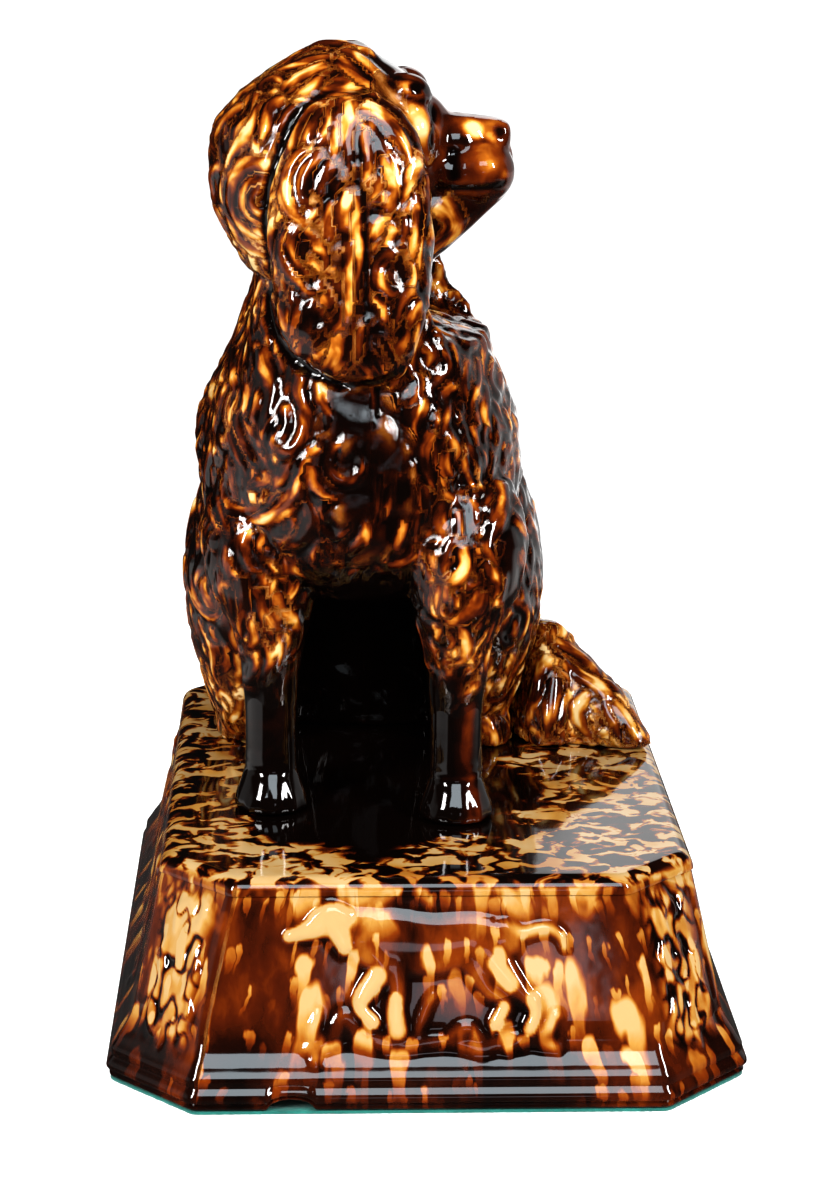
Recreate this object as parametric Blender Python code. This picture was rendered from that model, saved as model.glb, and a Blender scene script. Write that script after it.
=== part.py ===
"""Seated pottery dog on a canted-corner plinth, pressed in parts and luted together.

Metres, +Z up. The origin is the middle of the underside. The dog's chest faces -Y and
its head is turned to its own left, which is +X.
"""
import math

import bmesh
import bpy
from mathutils import Matrix, Vector

# Clearance between pieces that touch on the real figure
CLEARANCE = 0.0003

# Felt, and the level of the plinth's lower edge on it
FELT_THICKNESS = 0.0010
FELT_MARGIN = 0.0003
FOOT_LEVEL = FELT_THICKNESS + CLEARANCE

# Plinth
PLINTH_HEIGHT = 0.060
DECK_WIDTH = 0.1464
DECK_LENGTH = 0.201
DECK_CORNER = 0.0197
SIDE_SPREAD = 0.0153
END_SPREAD = 0.0195
FOOT_WIDTH = DECK_WIDTH + 2 * SIDE_SPREAD
FOOT_LENGTH = DECK_LENGTH + 2 * END_SPREAD
FOOT_CORNER = 0.0240
CORNER_ROUNDING = 0.0016
ROLL_RADIUS = 0.0045
ROLL_STAND_OUT = 0.0006
SHOULDER_LEVEL = PLINTH_HEIGHT - ROLL_RADIUS
PLINTH_WALL = 0.006
DECK_THICKNESS = 0.007
VENT_RADIUS = 0.012
NOTCH_RADIUS = 0.0045
NOTCH_X = -0.0375

# Base moulding: height above the plinth's lower edge, and how far it lies inside the foot's outline
MOULDING = (
    (0.0000, 0.0015),
    (0.0004, 0.0009),
    (0.0010, 0.0009),
    (0.0016, 0.0017),
    (0.0021, 0.0006),
    (0.0030, 0.0000),
    (0.0039, 0.0002),
    (0.0048, 0.0007),
    (0.0055, 0.0013),
    (0.0061, 0.0017),
    (0.0067, 0.0014),
    (0.0083, 0.0015),
    (0.0100, 0.0027),
    (0.0118, 0.0038),
    (0.0137, 0.0052),
    (0.0153, 0.0062),
    (0.0172, 0.0071),
    (0.0217, 0.0082),
)

# Dog: place of its middle plane on the deck, wall, and the carving of its coat
DOG_X = -0.0155
BODY_WALL = 0.006
LOCK_DEPTH = 0.0016
LOCK_COUNT = 12
LOCK_TWIST = 38.0
LOCK_FADE_SLICES = 3

# Slices of the dog: height above the deck, right side, left side, front, back
TORSO = (
    (-0.005, -0.044, 0.044, 0.024, 0.079),
    (0.015, -0.046, 0.046, 0.022, 0.082),
    (0.032, -0.046, 0.046, 0.018, 0.082),
    (0.045, -0.046, 0.046, 0.008, 0.080),
    (0.055, -0.046, 0.046, -0.016, 0.077),
    (0.063, -0.045, 0.044, -0.044, 0.074),
    (0.075, -0.046, 0.044, -0.053, 0.070),
    (0.090, -0.049, 0.045, -0.056, 0.063),
    (0.103, -0.0495, 0.0445, -0.056, 0.056),
    (0.115, -0.046, 0.041, -0.054, 0.048),
    (0.128, -0.040, 0.036, -0.050, 0.039),
    (0.140, -0.035, 0.032, -0.046, 0.030),
    (0.150, -0.032, 0.028, -0.042, 0.024),
    (0.160, -0.030, 0.025, -0.040, 0.018),
    (0.170, -0.028, 0.018, -0.036, 0.010),
)
HEAD = (
    (0.146, -0.026, 0.018, -0.034, 0.006),
    (0.153, -0.034, 0.024, -0.039, 0.011),
    (0.163, -0.040, 0.024, -0.042, 0.014),
    (0.172, -0.0445, 0.022, -0.043, 0.015),
    (0.184, -0.045, 0.019, -0.042, 0.014),
    (0.194, -0.043, 0.018, -0.041, 0.013),
    (0.201, -0.037, 0.0165, -0.038, 0.010),
    (0.207, -0.029, 0.011, -0.033, 0.005),
    (0.212, -0.021, 0.003, -0.026, -0.002),
    (0.2155, -0.014, -0.003, -0.018, -0.010),
)
HAUNCH = (
    (-0.005, 0.020, 0.044, 0.022, 0.062),
    (0.004, 0.018, 0.0465, 0.018, 0.066),
    (0.018, 0.015, 0.050, 0.010, 0.072),
    (0.034, 0.012, 0.054, 0.004, 0.076),
    (0.050, 0.010, 0.0555, 0.003, 0.076),
    (0.064, 0.010, 0.054, 0.008, 0.070),
    (0.078, 0.012, 0.050, 0.016, 0.060),
    (0.088, 0.018, 0.044, 0.026, 0.050),
    (0.093, 0.024, 0.036, 0.033, 0.044),
)
HIND_FOOT = (
    (-0.005, 0.030, 0.046, 0.0146, 0.050),
    (0.003, 0.030, 0.0465, 0.0142, 0.050),
    (0.008, 0.031, 0.046, 0.016, 0.050),
    (0.013, 0.033, 0.044, 0.021, 0.048),
    (0.017, 0.036, 0.041, 0.029, 0.042),
)
HIND_FOOT_STAGGER = 0.007
EAR = (
    (0.126, -0.006, 0.004, -0.055, -0.047),
    (0.129, -0.013, 0.009, -0.058, -0.045),
    (0.135, -0.022, 0.0125, -0.060, -0.042),
    (0.142, -0.0255, 0.015, -0.0595, -0.038),
    (0.152, -0.0265, 0.0165, -0.057, -0.034),
    (0.164, -0.028, 0.017, -0.0545, -0.033),
    (0.176, -0.0275, 0.0165, -0.052, -0.032),
    (0.186, -0.0245, 0.0155, -0.0495, -0.031),
    (0.193, -0.022, 0.0135, -0.047, -0.030),
    (0.199, -0.018, 0.009, -0.044, -0.029),
    (0.2035, -0.012, 0.002, -0.040, -0.029),
)
HEAD_MIDDLE_Y = -0.014
FAR_EAR_LEAN = 0.20
FAR_EAR_ROOT_DROP = 0.0075

# Face: distance ahead of the dog's middle plane, half width, lower edge and upper edge
LIPS = (
    (0.006, 0.020, 0.172, 0.199),
    (0.014, 0.0175, 0.173, 0.198),
    (0.022, 0.0150, 0.1745, 0.1965),
    (0.030, 0.0135, 0.1745, 0.1955),
    (0.0355, 0.0122, 0.1745, 0.195),
    (0.0385, 0.0100, 0.1755, 0.1925),
    (0.0400, 0.0060, 0.178, 0.187),
)
JAW = (
    (0.002, 0.0190, 0.146, 0.184),
    (0.010, 0.0175, 0.148, 0.184),
    (0.020, 0.0145, 0.155, 0.184),
    (0.029, 0.0118, 0.1635, 0.184),
    (0.0345, 0.0098, 0.169, 0.183),
    (0.0372, 0.0070, 0.172, 0.181),
)

# Brow: distance ahead of the middle plane, away from the head's middle and below its top, and size
BROW_AHEAD = 0.0095
BROW_AWAY = 0.0105
BROW_DROP = 0.017
BROW_SIZE = (0.0095, 0.0085, 0.0075)

# Front leg about its own axis: height above the deck, half width, front and back
LEG = (
    (0.0000, 0.0100, -0.0130, 0.0090),
    (0.0015, 0.0106, -0.0138, 0.0095),
    (0.0050, 0.0100, -0.0130, 0.0088),
    (0.0090, 0.0086, -0.0105, 0.0080),
    (0.0115, 0.0078, -0.0085, 0.0076),
    (0.0125, 0.0072, -0.0078, 0.0072),
    (0.0138, 0.0079, -0.0082, 0.0079),
    (0.0165, 0.0076, -0.0078, 0.0077),
    (0.0300, 0.0075, -0.0076, 0.0078),
    (0.0420, 0.0076, -0.0076, 0.0078),
    (0.0560, 0.0070, -0.0070, 0.0070),
)

# Upper arm, which the body carries, about the axis of the leg under it
UPPER_ARM = (
    (0.036, -0.0080, 0.0080, -0.0080, 0.0080),
    (0.044, -0.0098, 0.0100, -0.0105, 0.0105),
    (0.054, -0.0118, 0.0134, -0.0120, 0.0155),
    (0.066, -0.0138, 0.0182, -0.0125, 0.0235),
    (0.080, -0.0168, 0.0202, -0.0105, 0.0305),
    (0.095, -0.0148, 0.0152, -0.0025, 0.0275),
)
RIGHT_LEG_PLACE = (-0.0278, -0.0365)
LEFT_LEG_PLACE = (0.0248, -0.0455)
TOE_DEPTH = 0.0009
TOE_COUNT = 10
TOE_TOP = 0.0115
TOE_FRONT = 0.2

# Tail: points of each lobe's middle line on the deck, with half width and height there
TAIL_LOBES = (
    (
        (0.010, 0.064, 0.0100, 0.020),
        (0.018, 0.080, 0.0105, 0.021),
        (0.036, 0.081, 0.0115, 0.024),
        (0.050, 0.069, 0.013, 0.028),
        (0.057, 0.052, 0.014, 0.031),
        (0.058, 0.034, 0.014, 0.035),
        (0.057, 0.021, 0.009, 0.024),
        (0.057, 0.014, 0.004, 0.010),
    ),
    (
        (0.056, 0.040, 0.010, 0.028),
        (0.066, 0.031, 0.013, 0.027),
        (0.075, 0.023, 0.011, 0.019),
        (0.083, 0.016, 0.006, 0.009),
        (0.0865, 0.013, 0.003, 0.004),
    ),
    (
        (0.054, 0.060, 0.009, 0.024),
        (0.065, 0.052, 0.011, 0.024),
        (0.073, 0.044, 0.009, 0.016),
        (0.0785, 0.038, 0.004, 0.007),
    ),
)

# Relief on the plinth: place along a panel, height, and half width, for each point of a limb, drawn
# for a panel of RELIEF_PANEL_HEIGHT; the last number is how far the limb stands out
RELIEF_PANEL_HEIGHT = 0.0537
HOUND = (
    (((-0.0385, 0.0455, 0.0016), (-0.0350, 0.0462, 0.0024), (-0.0300, 0.0475, 0.0034)), 0.0022),
    (((-0.0335, 0.0475, 0.0026), (-0.0290, 0.0485, 0.0050), (-0.0240, 0.0480, 0.0040)), 0.0028),
    (((-0.0270, 0.0500, 0.0022), (-0.0235, 0.0460, 0.0034), (-0.0215, 0.0415, 0.0020)), 0.0033),
    (((-0.0260, 0.0485, 0.0035), (-0.0200, 0.0465, 0.0052), (-0.0120, 0.0440, 0.0065)), 0.0022),
    (((-0.0190, 0.0425, 0.0045), (-0.0110, 0.0430, 0.0085), (0.0020, 0.0430, 0.0075),
      (0.0140, 0.0425, 0.0076), (0.0220, 0.0425, 0.0045)), 0.0028),
    (((0.0190, 0.0460, 0.0022), (0.0260, 0.0445, 0.0018), (0.0310, 0.0450, 0.0017),
      (0.0350, 0.0455, 0.0010)), 0.0018),
    (((-0.0165, 0.0390, 0.0050), (-0.0195, 0.0300, 0.0028), (-0.0150, 0.0230, 0.0020)), 0.0026),
    (((-0.0105, 0.0370, 0.0042), (-0.0085, 0.0280, 0.0026), (-0.0060, 0.0205, 0.0022)), 0.0020),
    (((0.0170, 0.0400, 0.0060), (0.0235, 0.0320, 0.0036), (0.0290, 0.0250, 0.0022),
      (0.0350, 0.0180, 0.0020)), 0.0026),
    (((0.0120, 0.0370, 0.0045), (0.0190, 0.0300, 0.0026), (0.0180, 0.0230, 0.0020),
      (0.0230, 0.0185, 0.0018)), 0.0020),
    (((-0.0300, 0.0170, 0.0020), (-0.0150, 0.0185, 0.0034), (0.0050, 0.0175, 0.0038),
      (0.0250, 0.0165, 0.0030), (0.0370, 0.0160, 0.0016)), 0.0016),
)
SPRAY = (
    (((0.0000, 0.0210, 0.0008), (0.0008, 0.0330, 0.0012), (0.0000, 0.0460, 0.0008)), 0.0016),
    (((0.0000, 0.0280, 0.0008), (-0.0050, 0.0320, 0.0028), (-0.0085, 0.0375, 0.0006)), 0.0020),
    (((0.0000, 0.0300, 0.0008), (0.0052, 0.0345, 0.0028), (0.0085, 0.0405, 0.0006)), 0.0020),
    (((0.0003, 0.0232, 0.0008), (0.0048, 0.0256, 0.0026), (0.0088, 0.0283, 0.0006)), 0.0020),
    (((0.0000, 0.0420, 0.0012), (0.0000, 0.0465, 0.0042), (0.0000, 0.0510, 0.0012)), 0.0026),
)
RELIEF_SINK = 0.0004
LIMB_END_PUSH = 0.8
LIMB_END_SHARE = 0.35
SIDE_SPRAY_PLACES = (-0.056, 0.0, 0.056)

# Points round each form, and the spacing of its slices
RING_POINTS = 24
COAT_POINTS = 48
FORM_POINTS = 36
EAR_POINTS = 28
SMALL_POINTS = 20
TAIL_POINTS = 18
LIMB_POINTS = 6
BROW_POINTS = 12
BROW_SLICES = 8
NOTCH_POINTS = 16
ROLL_STEPS = 4
SLICE_SPACING = 0.009
LEG_SPACING = 0.008
HOLLOW_SPACING = 0.02
HOLLOW_SAMPLES = 6

# How square a form's slices are: 2 is an ellipse
ROUND = 2.2
SOFT = 2.3
FLAT = 2.6

# How far a cutting block reaches past the figure, and how far a hollow runs below its mouth
CUT_REACH = 0.3
CUT_RUN = 0.01

GLAZES = {
    "plinth": (0.36, 0.13, 0.03, 1.0),
    "body_right_half": (0.25, 0.08, 0.02, 1.0),
    "body_left_half": (0.28, 0.09, 0.02, 1.0),
    "front_right_leg": (0.06, 0.02, 0.01, 1.0),
    "front_left_leg": (0.10, 0.03, 0.01, 1.0),
    "tail": (0.45, 0.20, 0.05, 1.0),
}
GLAZE_ROUGHNESS = 0.12
FELT_COLOUR = (0.0, 0.19, 0.17, 1.0)
FELT_ROUGHNESS = 0.95
SMOOTH_ANGLE = 40


def material(name, colour, roughness):
    """A plain Principled material of one colour."""
    made = bpy.data.materials.new(name)
    made.use_nodes = True
    shader = made.node_tree.nodes["Principled BSDF"]
    shader.inputs["Base Color"].default_value = colour
    shader.inputs["Roughness"].default_value = roughness
    shader.inputs["Metallic"].default_value = 0.0
    return made


def closed_solid(name, rings, place=(0.0, 0.0, 0.0)):
    """An object skinned over rings of equal length, with its two ends capped."""
    bm = bmesh.new()
    loops = [[bm.verts.new(point) for point in ring] for ring in rings]
    for lower, upper in zip(loops, loops[1:]):
        for i in range(len(lower)):
            j = (i + 1) % len(lower)
            bm.faces.new((lower[i], lower[j], upper[j], upper[i]))
    bm.faces.new(reversed(loops[0]))
    bm.faces.new(loops[-1])
    bmesh.ops.recalc_face_normals(bm, faces=bm.faces)
    mesh = bpy.data.meshes.new(name)
    bm.to_mesh(mesh)
    bm.free()
    made = bpy.data.objects.new(name, mesh)
    made.location = place
    bpy.context.scene.collection.objects.link(made)
    return made


def combine(name, base, others, operation):
    """The Boolean of base with each of the others in turn, as one new object in their stead."""
    for other in others:
        cut = base.modifiers.new("combine", "BOOLEAN")
        cut.solver = "EXACT"
        cut.operation = operation
        cut.object = other
    bpy.context.view_layer.update()
    mesh = bpy.data.meshes.new_from_object(base.evaluated_get(bpy.context.evaluated_depsgraph_get()))
    mesh.transform(base.matrix_world)
    for used in [base] + list(others):
        bpy.data.objects.remove(used)
    mesh.name = name
    made = bpy.data.objects.new(name, mesh)
    bpy.context.scene.collection.objects.link(made)
    return made


def copy_of(source):
    """A second object with its own copy of the mesh."""
    twin = source.copy()
    twin.data = source.data.copy()
    bpy.context.scene.collection.objects.link(twin)
    return twin


def block(name, low, high):
    """A plain box between two corners."""
    bm = bmesh.new()
    bmesh.ops.create_cube(bm, size=1.0)
    size = [b - a for a, b in zip(low, high)]
    middle = [(a + b) / 2 for a, b in zip(low, high)]
    place = Matrix.Translation(middle) @ Matrix.Diagonal((*size, 1.0))
    bmesh.ops.transform(bm, matrix=place, verts=bm.verts)
    mesh = bpy.data.meshes.new(name)
    bm.to_mesh(mesh)
    bm.free()
    made = bpy.data.objects.new(name, mesh)
    bpy.context.scene.collection.objects.link(made)
    return made


def cylinder(name, radius, low, high, axis_turn, points):
    """A round bar from low to high along its axis, turned from +Z by axis_turn."""
    bm = bmesh.new()
    length = (Vector(high) - Vector(low)).length
    bmesh.ops.create_cone(
        bm, cap_ends=True, segments=points, radius1=radius, radius2=radius, depth=length,
        matrix=Matrix.Translation((Vector(low) + Vector(high)) / 2) @ axis_turn)
    mesh = bpy.data.meshes.new(name)
    bm.to_mesh(mesh)
    bm.free()
    made = bpy.data.objects.new(name, mesh)
    bpy.context.scene.collection.objects.link(made)
    return made


def column(rows, index, at):
    """A smooth curve through one column of rows, read at the distance in column 0 without overshoot."""
    xs = [row[0] for row in rows]
    ys = [row[index] for row in rows]
    at = min(max(at, xs[0]), xs[-1])
    k = max(i for i in range(len(xs) - 1) if xs[i] <= at)
    rises = [(ys[i + 1] - ys[i]) / (xs[i + 1] - xs[i]) for i in range(len(xs) - 1)]

    def slope(i):
        if i == 0:
            return rises[0]
        if i == len(xs) - 1:
            return rises[-1]
        before, after = rises[i - 1], rises[i]
        return 0.0 if before * after <= 0 else 2 * before * after / (before + after)

    step = xs[k + 1] - xs[k]
    t = (at - xs[k]) / step
    return ((2 * t ** 3 - 3 * t ** 2 + 1) * ys[k] + (t ** 3 - 2 * t ** 2 + t) * step * slope(k)
            + (3 * t ** 2 - 2 * t ** 3) * ys[k + 1] + (t ** 3 - t ** 2) * step * slope(k + 1))


def levels(rows, spacing):
    """Heights of the slices: every row, and between rows no further apart than spacing."""
    heights = []
    for below, above in zip(rows, rows[1:]):
        parts = max(1, math.ceil((above[0] - below[0]) / spacing))
        heights += [below[0] + (above[0] - below[0]) * i / parts for i in range(parts)]
    return heights + [rows[-1][0]]


def oval(x_low, x_high, y_low, y_high, points, squareness, swell=None):
    """Points round an oval between four sides; swell gives what is added outwards at an angle."""
    made = []
    for i in range(points):
        angle = 2 * math.pi * (i + 0.5) / points
        c, s = math.cos(angle), math.sin(angle)
        extra = swell(angle) if swell else 0.0
        x = math.copysign(abs(c) ** (2 / squareness), c) * (x_high - x_low) / 2 + c * extra
        y = math.copysign(abs(s) ** (2 / squareness), s) * (y_high - y_low) / 2 + s * extra
        made.append(((x_low + x_high) / 2 + x, (y_low + y_high) / 2 + y))
    return made


def sliced_form(name, rows, grow=0.0, points=RING_POINTS, squareness=ROUND, coat=0.0, ahead=False,
                spacing=SLICE_SPACING):
    """A form through rows of slices, each side moved out by grow.

    The slices lie flat and stack upwards, or with ahead stand upright and stack towards +X.
    """
    rings = []
    heights = levels(rows, spacing)
    for number, height in enumerate(heights):
        sides = [column(rows, index, height) for index in range(1, 5)]
        fade = min(number, len(heights) - 1 - number, LOCK_FADE_SLICES) / LOCK_FADE_SLICES

        def swell(angle, height=height, fade=fade):
            wave = math.sin(LOCK_COUNT * angle + LOCK_TWIST * 2 * math.pi * height)
            return coat * fade * wave / 2

        ring = oval(sides[0] - grow, sides[1] + grow, sides[2] - grow, sides[3] + grow,
                    points, squareness, swell if coat else None)
        end = -grow if number == 0 else grow if number == len(heights) - 1 else 0.0
        rings.append([(height + end, a, b) if ahead else (a, b, height + end) for a, b in ring])
    return closed_solid(name, rings, (DOG_X, 0.0, PLINTH_HEIGHT))


def hollowed(rows, wall):
    """Rows of the hollow that leaves a wall all round a form, open at its lowest slice."""
    inner = []
    for height in levels(rows, 3 * wall)[::2]:
        if height > rows[-1][0] - wall:
            break
        near = [height + 2 * wall * i / HOLLOW_SAMPLES for i in range(-HOLLOW_SAMPLES, HOLLOW_SAMPLES + 1)]
        inner.append((
            height,
            max(column(rows, 1, at) for at in near) + wall,
            min(column(rows, 2, at) for at in near) - wall,
            max(column(rows, 3, at) for at in near) + wall,
            min(column(rows, 4, at) for at in near) - wall,
        ))
    return inner


def mirrored(rows, back=0.0):
    """The same slices on the dog's right side, moved back by a distance."""
    return [(h, -left, -right, front + back, rear + back) for h, right, left, front, rear in rows]


def over_leg(rows, place):
    """Slices given about a leg's axis, at that leg's place and turned outwards on its side."""
    side = math.copysign(1, place[0])
    return [
        (h, place[0] + min(side * inner, side * outer), place[0] + max(side * inner, side * outer),
         place[1] + front, place[1] + back)
        for h, inner, outer, front, back in rows]


def far_ear(rows):
    """The ear on the far side of the head, which leans out over the dog's back."""
    made = []
    root = rows[-1][0] - FAR_EAR_ROOT_DROP
    for height, right, left, front, back in rows:
        lean = FAR_EAR_LEAN * max(0.0, root - height)
        made.append((height, right, left, 2 * HEAD_MIDDLE_Y - back, 2 * HEAD_MIDDLE_Y - front + lean))
    return made


def face_slices(rows):
    """Slices of the face, which lies evenly on both sides of the head's middle."""
    return [
        (ahead, HEAD_MIDDLE_Y - half, HEAD_MIDDLE_Y + half, low, high)
        for ahead, half, low, high in rows]


def brow(side, grow):
    """One brow, an egg-shaped swelling over the eye."""
    height = HEAD[-1][0] - BROW_DROP
    middle_y = HEAD_MIDDLE_Y + side * BROW_AWAY
    a, b, c = (size + grow for size in BROW_SIZE)
    rings = []
    for i in range(1, BROW_SLICES):
        turn = math.pi * i / BROW_SLICES
        spread = math.sin(turn)
        around = [2 * math.pi * j / BROW_POINTS for j in range(BROW_POINTS)]
        rings.append([
            (BROW_AHEAD + a * spread * math.cos(angle), middle_y + b * spread * math.sin(angle),
             height - c * math.cos(turn))
            for angle in around])
    return closed_solid("brow", rings, (DOG_X, 0.0, PLINTH_HEIGHT))


def dog_skin(grow=0.0):
    """The whole outside of head and body as one solid, moved out by grow."""
    torso = sliced_form("torso", TORSO, grow, COAT_POINTS, SOFT, LOCK_DEPTH)
    forms = [
        sliced_form("head", HEAD, grow, FORM_POINTS, ROUND, LOCK_DEPTH / 2),
        sliced_form("left_haunch", HAUNCH, grow, FORM_POINTS),
        sliced_form("right_haunch", mirrored(HAUNCH), grow, FORM_POINTS),
        sliced_form("left_arm", over_leg(UPPER_ARM, LEFT_LEG_PLACE), grow),
        sliced_form("right_arm", over_leg(UPPER_ARM, RIGHT_LEG_PLACE), grow),
        sliced_form("left_foot", HIND_FOOT, grow, SMALL_POINTS, SOFT),
        sliced_form("right_foot", mirrored(HIND_FOOT, HIND_FOOT_STAGGER), grow, SMALL_POINTS, SOFT),
        sliced_form("near_ear", EAR, grow, EAR_POINTS, FLAT),
        sliced_form("far_ear", far_ear(EAR), grow, EAR_POINTS, FLAT),
        sliced_form("lips", face_slices(LIPS), grow, SMALL_POINTS, FLAT, ahead=True),
        sliced_form("jaw", face_slices(JAW), grow, SMALL_POINTS, ahead=True),
        brow(-1, grow),
        brow(1, grow),
    ]
    return combine("dog_skin", torso, forms, "UNION")


def dog_hollow():
    """The hollow inside the dog, open at the bottom."""
    torso, *rooms = [
        sliced_form("hollow", hollowed(rows, BODY_WALL), spacing=HOLLOW_SPACING)
        for rows in (TORSO, HEAD, HAUNCH, mirrored(HAUNCH))]
    return combine("dog_hollow", torso, rooms, "UNION")


def deck_cutter():
    """All the space at and below the deck, with the clearance above it."""
    return block("below_deck", (-CUT_REACH, -CUT_REACH, PLINTH_HEIGHT - CUT_REACH),
                 (CUT_REACH, CUT_REACH, PLINTH_HEIGHT + CLEARANCE))


def body_halves():
    """The two halves of the dog's body, parted on its middle plane."""
    shell = combine("shell", dog_skin(), [dog_hollow(), deck_cutter()], "DIFFERENCE")
    other = copy_of(shell)
    half = CLEARANCE / 2
    left_space = block("left_space", (DOG_X - half, -CUT_REACH, 0.0),
                       (DOG_X + CUT_REACH, CUT_REACH, 2 * CUT_REACH))
    right_space = block("right_space", (DOG_X - CUT_REACH, -CUT_REACH, 0.0),
                        (DOG_X + half, CUT_REACH, 2 * CUT_REACH))
    right = combine("body_right_half", shell, [left_space], "DIFFERENCE")
    left = combine("body_left_half", other, [right_space], "DIFFERENCE")
    return right, left


def front_leg(name, place):
    """A free-standing front leg, shaped at its top to the chest that it holds up."""
    rings = []
    for height in levels(LEG, LEG_SPACING):
        half, front, back = (column(LEG, index, height) for index in (1, 2, 3))
        toes = TOE_DEPTH * max(0.0, 1 - height / TOE_TOP)

        def swell(angle, toes=toes):
            return -toes * (1 + math.cos(TOE_COUNT * angle)) / 2 if math.sin(angle) < -TOE_FRONT else 0.0

        lifted = height + CLEARANCE if height == 0 else height
        ring = oval(-half, half, front, back, RING_POINTS, ROUND, swell)
        rings.append([(x, y, lifted) for x, y in ring])
    leg = closed_solid(name, rings, (DOG_X + place[0], place[1], PLINTH_HEIGHT))
    return combine(name, leg, [dog_skin(CLEARANCE)], "DIFFERENCE")


def path_frames(points):
    """The direction of a flat path at each of its points, and the direction to its left."""
    frames = []
    for i in range(len(points)):
        before = points[max(i - 1, 0)]
        after = points[min(i + 1, len(points) - 1)]
        along = Vector((after[0] - before[0], after[1] - before[1])).normalized()
        frames.append((along, Vector((-along.y, along.x))))
    return frames


def tail_lobe(points):
    """One feathered lobe of the tail, a low mound along its middle line."""
    rings = []
    for (x, y, half, height), (along, across) in zip(points, path_frames(points)):
        ring = []
        for i in range(TAIL_POINTS):
            angle = 2 * math.pi * i / TAIL_POINTS
            out = math.cos(angle) * half
            up = math.sin(angle) * height
            ring.append((x + across.x * out, y + across.y * out, up))
        rings.append(ring)
    return closed_solid("tail_lobe", rings, (DOG_X, 0.0, PLINTH_HEIGHT))


def feathered_tail():
    """The tail, cut to the deck and to the body that it lies against."""
    lobes = [tail_lobe(points) for points in TAIL_LOBES]
    whole = combine("tail_whole", lobes[0], lobes[1:], "UNION")
    return combine("tail", whole, [dog_skin(CLEARANCE), deck_cutter()], "DIFFERENCE")


def canted_outline(half_x, half_y, corner, rounding):
    """Points round a rectangle with canted and slightly softened corners."""
    turns = []
    for sx, sy in ((1, 1), (-1, 1), (-1, -1), (1, -1)):
        on_side = Vector((sx * half_x, sy * (half_y - corner)))
        on_end = Vector((sx * (half_x - corner), sy * half_y))
        turns += [on_side, on_end] if sx == sy else [on_end, on_side]
    made = []
    for i, point in enumerate(turns):
        before = (turns[i - 1] - point).normalized() * rounding
        after = (turns[(i + 1) % len(turns)] - point).normalized() * rounding
        made += [point + before, point + (before + after) / 4, point + after]
    return made


def set_in(plan, inset):
    """Half width, half length and corner of an outline that lies inside another by an inset."""
    half_x, half_y, corner = plan
    return half_x - inset, half_y - inset, corner - inset * (2 - math.sqrt(2))


def foot_plan():
    """Half width, half length and corner of the plinth where its moulding stands out furthest."""
    return FOOT_WIDTH / 2, FOOT_LENGTH / 2, FOOT_CORNER


def panel_plan(height):
    """Half width, half length and corner of the plinth's plain panels at a height."""
    top, inset = MOULDING[-1]
    low, high = set_in(foot_plan(), inset), (DECK_WIDTH / 2, DECK_LENGTH / 2, DECK_CORNER)
    up = (height - FOOT_LEVEL - top) / (SHOULDER_LEVEL - FOOT_LEVEL - top)
    return [a + (b - a) * up for a, b in zip(low, high)]


def plinth_ring(plan, height):
    """A ring round the plinth at a height."""
    return [(x, y, height) for x, y in canted_outline(*plan, CORNER_ROUNDING)]


def plinth_block():
    """The outside of the plinth: moulded foot, sloping panels and rolled deck edge."""
    rings = [plinth_ring(set_in(foot_plan(), inset), FOOT_LEVEL + height) for height, inset in MOULDING]
    shoulder = panel_plan(SHOULDER_LEVEL)
    rings.append(plinth_ring(shoulder, SHOULDER_LEVEL))
    for i in range(ROLL_STEPS + 1):
        turn = math.pi / 2 * i / ROLL_STEPS
        inset = ROLL_RADIUS * (1 - math.cos(turn)) - ROLL_STAND_OUT
        rings.append(plinth_ring(set_in(shoulder, inset), SHOULDER_LEVEL + ROLL_RADIUS * math.sin(turn)))
    return closed_solid("plinth_block", rings)


def plinth_hollow():
    """The hollow under the plinth, open downwards."""
    levels_of_hollow = FOOT_LEVEL - CUT_RUN, PLINTH_HEIGHT - DECK_THICKNESS
    return closed_solid("plinth_hollow", [
        plinth_ring(set_in(panel_plan(level), PLINTH_WALL), level) for level in levels_of_hollow])


def panel_frame(quarter_turns, corner_panel=False, offset=0.0):
    """Matrix of a panel: x along it, y up it from the foot, z out of it."""
    low, high = panel_plan(FOOT_LEVEL), panel_plan(SHOULDER_LEVEL)

    def reach(plan):
        half_x, half_y, corner = plan
        if corner_panel:
            return (half_x + half_y - corner) / math.sqrt(2)
        return half_y if quarter_turns % 2 == 0 else half_x

    def middle(plan):
        return (plan[1] - plan[0]) / math.sqrt(2) if corner_panel else 0.0

    heading = math.pi / 2 * quarter_turns + (math.pi / 4 if corner_panel else 0.0)
    side = -1 if quarter_turns % 2 == 0 else 1
    up = Vector((side * (middle(high) - middle(low)) if corner_panel else 0.0,
                 reach(low) - reach(high), SHOULDER_LEVEL - FOOT_LEVEL)).normalized()
    out = Vector((1, 0, 0)).cross(up).normalized()
    along = up.cross(out)
    start = Vector((offset + (side * middle(low) if corner_panel else 0.0), -reach(low), FOOT_LEVEL))
    frame = Matrix((along, up, out)).transposed().to_4x4()
    frame.translation = start
    return Matrix.Rotation(heading, 4, "Z") @ frame


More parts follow.
